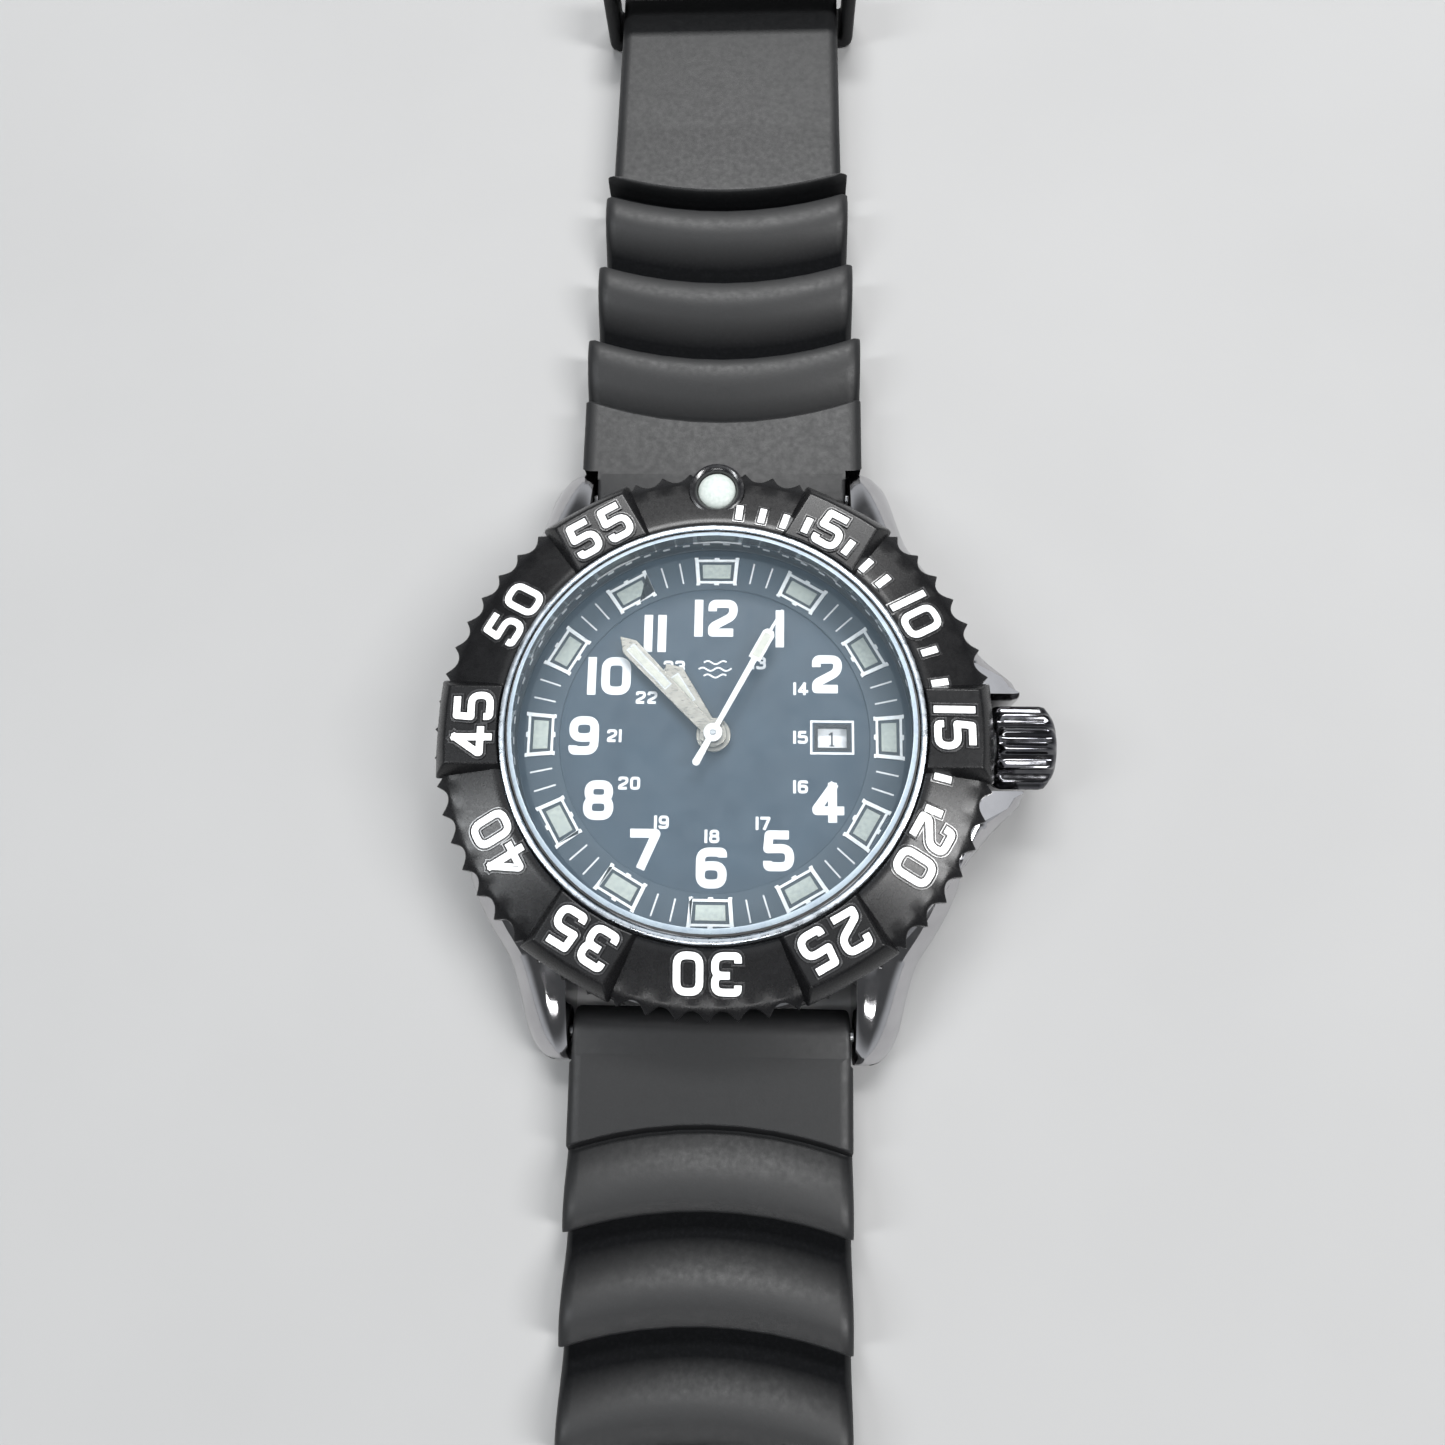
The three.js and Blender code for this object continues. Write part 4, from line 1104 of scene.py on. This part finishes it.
def make_flange():
    """The rehaut under the crystal, with a white minute mark every six degrees."""
    low, high = (corner.z for corner in corners("flange_ring"))
    wall = [(15.42, low), (15.78, low), (15.8, low + 0.05), (15.8, high), (15.36, high), (15.34, high - 0.05)]
    piece("flange_wall", lathe(wall), FLANGE, "case", ["flange_ring"])
    mark = box_shape(15.33, 15.45, -0.28, 0.28, high - 0.42, high - 0.1)
    marks = [turned(mark, 6 * minute + 3) for minute in range(60)]
    piece("flange_minute_marks", joined(*marks), PRINT, "case")


DAYS = 31


def on_date_disc(day, top):
    """Lays a day's digits upright for when that day stands in the window."""
    centre = (WINDOW[0] + WINDOW[1]) / 2
    turn = 2 * math.pi * (day - 1) / DAYS
    out = Vector((math.cos(turn), math.sin(turn)))
    up = Vector((-math.sin(turn), math.cos(turn)))

    def place(u, v, lift):
        spot = out * (centre + u) + up * v
        return spot.x, spot.y, top + lift
    return place


def make_date_disc():
    low, high = (corner.z for corner in corners("date_disc"))
    inner = []
    for i in range(DAYS):
        for share, radius in ((-0.3, 8.05), (0.0, 7.75), (0.3, 8.05)):
            turn = 2 * math.pi * (i + share) / DAYS
            inner.append((radius * math.cos(turn), radius * math.sin(turn)))
    disc = slab(area_with_holes(circle(11.6, 186), [inner]), flat_place, low, high)
    piece("date_disc_white", disc, DATE, "date_disc", ["date_disc"], tidy=True)
    digits = []
    for day in range(1, DAYS + 1):
        figure = number(str(day), width=0.62, height=1.12, stroke=0.15, gap=0.12, rounding=0.4)
        if day == 1:
            figure += ribbon([(-0.02, 0.5), (-0.22, 0.34)], 0.13) + ribbon([(-0.2, -0.52), (0.2, -0.52)], 0.1)
        digits.append(slab(union(figure), on_date_disc(day, high), -0.01, 0.02))
    piece("date_digits", joined(*digits), INK, "date_disc", tidy=True)

# ---- Hands ----
SECOND_ANGLE = 28  # clock angle in degrees


def hand_place(angle):
    """Lays an upright figure, drawn towards 12 o'clock, at a clock angle."""
    turn = Matrix.Rotation(math.radians(-angle), 2)

    def place(u, v, height):
        spot = turn @ Vector((u, v))
        return spot.x, spot.y, height
    return place


def make_sword_hand(name, body, angle, low, high, length, shoulder, half, waist, hub, lume):
    """A sword blade with a round hub, and lume in a shallow recess between two distances from the middle."""
    place = hand_place(angle)
    blade = [[(-waist, 0), (waist, 0), (half, length - shoulder), (0, length), (-half, length - shoulder)]]
    blade_shape = slab(union(blade + [circle(hub, 40)]), place, low, high)
    piece(f"{name}_hand_blade", blade_shape, HAND, body, [f"{name}_hand"],
          tidy=True, bevel=0.07, sharp=40)
    start, end = lume
    recess = slab(union([tapered(start - 0.1, 0.36, end + 0.1, 0.4)]), place, high - 0.02, high + 0.012)
    piece(f"{name}_hand_recess", recess, SATIN, body, tidy=True)
    inlay = slab(union([tapered(start, 0.26, end, 0.3)]), place, high - 0.02, high + 0.035)
    piece(f"{name}_hand_lume", inlay, HAND_LUME, body, tidy=True, bevel=0.02)


def make_second_hand():
    """A needle with a tail, a lume box near its tip, and the pin that holds it."""
    place = hand_place(SECOND_ANGLE)
    low, high = 9.68, 9.86
    needle = [tapered(-2.65, 0.3, 0, 0.2), arc(0, -2.62, 0.3, 180, 360, 10)]
    needle += [tapered(0, 0.2, 6.65, 0.24), tapered(9.2, 0.13, 11.2, 0.06)]
    box = [[(-0.5, 6.6), (0.5, 6.6), (0.5, 9.0), (0.28, 9.3), (-0.28, 9.3), (-0.5, 9.0)]]
    shape = slab(union(needle + box + [circle(0.72, 40)]), place, low, high)
    piece("second_hand_needle", shape, HAND_WHITE, "seconds", ["second_hand"],
          tidy=True, bevel=0.04)
    inlay = slab(union([tapered(6.85, 0.3, 8.95, 0.3)]), place, high - 0.02, high + 0.03)
    piece("second_hand_lume", inlay, HAND_LUME, "seconds", tidy=True, bevel=0.02)
    pin = [(0, high - 0.02), (0.24, high - 0.02), (0.24, high + 0.02), (0.2, high + 0.05), (0, high + 0.05)]
    piece("second_hand_pin", lathe(pin, SMALL), SATIN, "seconds")


def make_hands():
    make_sword_hand("hour", "hours", 326, 8.7, 8.95, 6.9, 1.0, 0.93, 0.62, 1.35, (3.2, 5.6))
    make_sword_hand("minute", "minutes", 316, 9.2, 9.42, 10.8, 1.15, 0.72, 0.55, 1.05, (5.2, 9.5))
    make_second_hand()


# ---- Straps ----
HUMPS = ((35.2, 4.4), (43.0, 4.3), (50.7, 4.1))  # crest edge along the strap, and its height
HUMP_DEPTH = 2.3
STEP = 0.45  # length of the drop after a crest
TAIL_TOP = 3.9
ARC_R = 34.0  # curve of the humps across the strap
SHOULDER_Y = 25.2
NOSE_HALF = LUG_GAP_HALF - 0.25
TIP_R_STRAP = 10  # rounded end of the half with the holes
ACROSS = (-1, -0.985, -0.95, -0.9, -0.8, -0.65, -0.45, -0.22, 0, 0.22, 0.45, 0.65, 0.8, 0.9, 0.95, 0.985, 1)


def eased(t):
    """A smooth step from 0 to 1."""
    return t * t * (3 - 2 * t)


def share_of(value, low, high):
    """How far a value is from low to high, from 0 to 1."""
    return max(0.0, min(1.0, (value - low) / (high - low)))


def strap_top(y):
    """Height of the top along the middle: a plateau by the case, three humps and a flat tail."""
    plateau, valley, plateau_end = 4.2, 3.1, 29.1
    first = plateau_end + 0.6
    if y <= plateau_end:
        return 4.25 - 0.05 * max(0.0, y - BAR_Y) / 6.5
    if y <= first:
        return plateau - (plateau - valley) * eased((y - plateau_end) / (first - plateau_end))
    starts = [first] + [crest + STEP for crest, _ in HUMPS]
    for start, (crest, high) in zip(starts, HUMPS):
        floor, bulge = (valley, 1.1) if start == first else (high - HUMP_DEPTH, 1.7)
        if y <= crest:
            t = (y - start) / (crest - start)
            rise = math.sin(min(t / 0.8, 1.0) * math.pi / 2) ** bulge
            fall = max(0.0, (t - 0.8) / 0.2) ** 2 * 0.24
            return floor + (high + 0.2 - floor) * rise - fall
        if y <= crest + STEP:
            return (high - 0.04) - (HUMP_DEPTH - 0.04) * eased((y - crest) / STEP)
    floor, tail_start = HUMPS[-1][1] - HUMP_DEPTH, 52.6
    if y < tail_start:
        return floor
    return floor + (TAIL_TOP - floor) * math.sin(min(1.0, (y - tail_start) / 0.55) * math.pi / 2) ** 0.7


def strap_half(y):
    """Half width along the strap, stepping in after each hump."""
    widest, last_step = 12.2, 53.1
    if y < SHOULDER_Y - 1.6:
        return NOSE_HALF
    if y < SHOULDER_Y - 1.3:
        return NOSE_HALF + (widest - NOSE_HALF) * (y - SHOULDER_Y + 1.6) / 0.3
    for end, half in ((35.45, widest), (43.25, 11.6), (last_step, 11.25)):
        if y < end:
            return half
    return 10.65 - 0.4 * min(1.0, (y - last_step) / 39)


def strap_stations(end):
    """Where the sections stand along the strap: close together round the humps."""
    stations = [BAR_Y + 0.4, 23.2, 23.55, 23.75, 23.95, 24.6, 26.0, 27.5, 28.7]
    y = 29.0
    while y < end:
        stations.append(round(y, 3))
        y += 0.11 if y < 54.2 else 1.5
    return stations


def strap_shape(end, underside, top_at, half_at):
    """Sections of a strap half drawn towards +Y, with rounded edges; the hump lines curve across."""
    rings = []
    for y in strap_stations(end):
        half, low, top = half_at(y), underside(y), top_at(y)
        curved = share_of(y, 26.0, 28.5) * (1 - share_of(y, 55.0, 60.0))
        thick = min(1.0, (top - low) / 2.0)
        ring = []
        for share in ACROSS:
            edge = abs(share) - (1 - 0.7 / half)
            ring.append((share * half, top - 0.55 * thick * max(0.0, edge * half / 0.7) ** 2.2))
        side_top = ring[-1][1]
        below = [(half, low + (side_top - low) * 0.5), (half, low + 0.35 * thick)]
        below += [(half - 0.25 * thick, low + 0.04 * thick), (half * 0.5, low)]
        ring += below + [(0, low)] + [(-x, z) for x, z in reversed(below)]
        rings.append([(x, y + (ARC_R - math.sqrt(ARC_R ** 2 - x ** 2)) * curved, z) for x, z in ring])
    return rings


def nose_shape():
    """The moulded eye round the spring bar, between the lugs."""
    half = NOSE_HALF
    radius = BAR_Z - 0.35
    outline = arc(BAR_Y, BAR_Z, radius, 90, 270, 18)
    outline += [(BAR_Y + 1.6, BAR_Z - radius - 0.3), (BAR_Y + 1.6, BAR_Z + radius)]
    rings = []
    for x, inset in ((-half, 0.28), (-half + 0.12, 0.08), (-half + 0.4, 0.0),
                     (half - 0.4, 0.0), (half - 0.12, 0.08), (half, 0.28)):
        ring = []
        for y, z in outline:
            way = Vector((y - BAR_Y, z - BAR_Z))
            spot = way * (1 - inset / max(way.length, 1))
            ring.append((x, BAR_Y + spot.x, BAR_Z + spot.y))
        rings.append(ring)
    return loft(rings)


def eye_cuts(y):
    """Room for the lugs beside the eye, and the bore for the spring bar."""
    inner, outer = 10.75, 14
    return [rod(2.7, inner, outer, y, BAR_Z, FINE), rod(2.7, -outer, -inner, y, BAR_Z, FINE),
            rod(1.0, -13, 13, y, BAR_Z)]


def make_strap_12():
    """The half with the buckle: its end thins down round the buckle bar and has a slot for the tongue."""
    def underside(y):
        return 1.2 * share_of(y, 50, 58) + 1.15 * max(0.0, (y - 94.6) / 1.8) ** 2

    def top(y):
        base = strap_top(y) - 0.2 * max(0.0, y - 54) / 38
        if y > 92.5:
            reach = share_of(y, 92.5, 96.4)
            return BUCKLE_BAR_Z + 0.1 + (base - BUCKLE_BAR_Z - 0.1) * math.sqrt(max(0.0, 1 - reach ** 2.4))
        return base
    shape = loft(strap_shape(STRAP_12_END - 0.05, underside, top, strap_half))
    strap = piece("strap_12_rubber", shape, RUBBER, "strap_12", ["strap_12"], sharp=60)
    boolean(strap, [nose_shape()], "UNION", 48)
    buckle_bore = rod(0.85, -13, 13, BUCKLE_BAR_Y, BUCKLE_BAR_Z)
    slot = box_shape(-1.5, 1.5, 92.0, 98, -1, 6)
    boolean(strap, eye_cuts(BAR_Y) + [buckle_bore, slot], "DIFFERENCE", 48)


def make_strap_6():
    """The half with the holes and the rounded end, drawn towards +Y and then turned."""
    def top(y):
        if y > 53.2:
            return TAIL_TOP - 0.7 * min(1.0, (y - 53.2) / 7) - 0.4 * max(0.0, (y - 60) / 65)
        return strap_top(y)

    def half(y):
        straight = min(strap_half(y), 10.25 + max(0.0, 92 - y) * 0.0104)
        return straight if y < 80 else straight - (straight - TIP_R_STRAP) * (y - 80) / 35
    rings = strap_shape(STRAP_6_END - TIP_R_STRAP, lambda y: 0.0, top, half) + strap_tip(top)
    shape = turned(loft(rings), 180)
    strap = piece("strap_6_rubber", shape, RUBBER, "strap_6", ["strap_6"], sharp=60)
    boolean(strap, [turned(nose_shape(), 180)], "UNION", 48)
    cuts = eye_cuts(-BAR_Y)
    hole = [(0, -1), (1.1, -1), (1.1, 2.75), (1.35, 3.3), (1.35, 5), (0, 5)]
    for i in range(7):
        cuts.append(lathe(hole, SMALL, (0, -76 - 6.2 * i)))
    boolean(strap, cuts, "DIFFERENCE", 48)


def strap_tip(top):
    """Sections of the rounded end."""
    radius = TIP_R_STRAP
    centre = STRAP_6_END - radius
    rings = []
    for turn in range(0, 88, 4):
        a = math.radians(turn)
        y = centre + radius * math.sin(a)
        half = radius * math.cos(a)
        ring = []
        for share in ACROSS:
            rim = radius - math.hypot(share * half, y - centre)
            ring.append((share * half, y, top(y) - 0.5 * max(0.0, 1 - rim / 0.7) ** 2.2))
        below = [(half, ring[-1][2] * 0.5), (half, 0.35), (half - 0.2 * math.cos(a), 0.04), (half * 0.5, 0.0)]
        below += [(0, 0.0)] + [(-x, z) for x, z in reversed(below)]
        rings.append(ring + [(x, y, z) for x, z in below])
    return rings


def keeper_shape(y0, y1):
    """A loop of rounded section."""
    outer = rounded(box_outline(-12.15, 12.15, 0, 7), 1.0, True, 8)
    inner = rounded(box_outline(-10.95, 10.95, 1, 6), 0.45, True, 8)
    pinches = ((y0, 0.3), (y0 + 0.12, 0.1), (y0 + 0.4, 0.0), (y1 - 0.4, 0.0), (y1 - 0.12, 0.1), (y1, 0.3))
    sections = []
    for outer_point, inner_point in zip(outer, inner):
        far, near = Vector(outer_point), Vector(inner_point)
        out = (far - near).normalized()
        section = []
        for side, order, way in ((far, pinches, -1), (near, reversed(pinches), 1)):
            for y, pinch in order:
                spot = side + out * (way * pinch)
                section.append((spot.x, y, spot.y))
        sections.append(section)
    return loft(sections, closed=True)


def make_keepers():
    for name, body in (("keeper_fixed", "strap_12"), ("keeper_free", "keeper_free")):
        low, high = corners(name)
        piece(f"{name}_loop", keeper_shape(low.y, high.y), RUBBER, body, [name], sharp=50)


# ---- Carried-over CAD nodes ----


def finish_cad_nodes():
    """The pieces whose CAD shape is right keep it, with softened edges and a material of their own."""
    bar_parts = ("tube", "spring", "tip_crown", "tip_left")
    spring_bars = [f"spring_bar_{row}_{part}" for row in (12, 6) for part in bar_parts]
    looks = {
        SEAL: ("case_back_gasket", "crystal_gasket", "crown_gasket", "bezel_gasket"),
        SATIN: ("crown_tube", "winding_stem", "sliding_pinion", "bezel_retaining_wire", "bezel_click_spring",
                "date_disc_guard", "date_jumper", "bridge_screw_1", "bridge_screw_2", "quartz_can", "stator",
                "rotor", "setting_lever", "yoke", "battery", "battery_clamp", "buckle_bar", *spring_bars),
        BRASS: ("main_plate", "train_bridge", "fifth_wheel", "seconds_wheel", "third_wheel", "center_wheel",
                "minute_wheel", "hour_wheel"),
        COPPER: ("coil",),
        BOARD: ("circuit_board",),
        HOLDER: ("movement_holder", "date_driving_wheel"),
        STEEL: ("buckle_frame", "buckle_tongue"),
    }
    bevels = {"buckle_frame": 0.35, "buckle_tongue": 0.22, "battery": 0.12, "main_plate": 0.06,
              "case_back_gasket": 0.0}
    for look, names in looks.items():
        for name in names:
            node = nodes[name]
            node.data.materials.clear()
            node.data.materials.append(look)
            node.data.shade_smooth()
            width = bevels.get(name, 0.03)
            if width:
                soften(node, width, 3 if width > 0.1 else 1, 30)


# ---- Stage ----
FLOOR_REACH = 8000
SOFT_CEILING = (-0.14, 0.1, 1.0)  # the brightest direction of the soft overhead light
CAMERA_PLACE = (4.0, -17.2, 88.25)
CAMERA_TURNS = ((-0.46, "Z"), (-2.33, "Y"), (-12.9, "X"))  # degrees about each axis


def make_floor():
    """A plain pale floor under the watch."""
    mesh = bpy.data.meshes.new("floor")
    outline = box_outline(-FLOOR_REACH, FLOOR_REACH, -FLOOR_REACH, FLOOR_REACH)
    mesh.from_pydata([Vector((x, y, 0)) * MM for x, y in outline], [], [(0, 1, 2, 3)])
    floor = add_object("floor", mesh)
    look = Look("floor_pale", (0.27, 0.27, 0.27), 0.8)
    mesh.materials.append(look.tint(30, (0.262, 0.262, 0.262)).bump(1.2, 0.02, 0.3).material)


def make_world():
    """Soft light from a bright patch overhead and from a paler band above the horizon."""
    world = bpy.data.worlds.new("studio")
    world.use_nodes = True
    sky = world.node_tree
    background = sky.nodes["Background"]
    background.inputs["Color"].default_value = (0.93, 0.96, 1.0, 1)
    direction = sky.nodes.new("ShaderNodeTexCoord").outputs["Generated"]
    toward = sky.nodes.new("ShaderNodeVectorMath")
    toward.operation = "DOT_PRODUCT"
    toward.inputs[1].default_value = Vector(SOFT_CEILING).normalized()
    sky.links.new(direction, toward.inputs[0])
    ceiling = mapped(sky, toward.outputs["Value"], 0.8, 1.0, 0.0, 1.15, "SMOOTHSTEP")
    horizon = mapped(sky, axes(sky, direction)["Z"], 0.1, 0.5, 0.62, 0.1, "SMOOTHSTEP")
    sky.links.new(reckoned(sky, "ADD", ceiling, horizon), background.inputs["Strength"])
    bpy.context.scene.world = world


def lamp(name, place, width, height, watts, color=(1, 1, 1)):
    """A soft rectangular lamp, in metres, that faces the watch."""
    data = bpy.data.lights.new(name, "AREA")
    data.shape = "RECTANGLE"
    data.size = width
    data.size_y = height
    data.energy = watts
    data.color = color
    obj = add_object(name, data)
    obj.location = place
    obj.rotation_mode = "QUATERNION"
    obj.rotation_quaternion = (-Vector(place)).to_track_quat("-Z", "Y")


def make_lights():
    lamp("back", (0.02, 0.37, 0.5), 0.4, 0.1, 4.4)
    lamp("right", (0.36, -0.06, 0.5), 0.12, 0.3, 3.6)
    lamp("left", (-0.42, -0.05, 0.5), 0.1, 0.3, 2.0, (0.95, 0.98, 1))
    lamp("front", (-0.04, -0.45, 0.5), 0.4, 0.05, 1.2)
    bpy.context.scene.view_settings.view_transform = "Standard"


def make_camera():
    """Above the 6 o'clock side, looking a little up the watch."""
    data = bpy.data.cameras.new("camera")
    data.sensor_width = 36
    data.lens = 26.16
    data.clip_start = 0.001
    data.clip_end = 10
    camera = add_object("camera", data)
    turn = Matrix.Identity(3)
    for degrees, axis in CAMERA_TURNS:
        turn = turn @ Matrix.Rotation(math.radians(degrees), 3, axis)
    camera.matrix_world = Matrix.Translation(Vector(CAMERA_PLACE) * MM) @ turn.transposed().to_4x4()
    bpy.context.scene.camera = camera


make_case()
make_case_back()
make_bezel()
make_crown()
make_crystal()
make_dial()
make_dial_marks()
make_flange()
make_date_disc()
make_hands()
make_strap_12()
make_strap_6()
make_keepers()
finish_cad_nodes()
make_floor()
make_world()
make_lights()
make_camera()
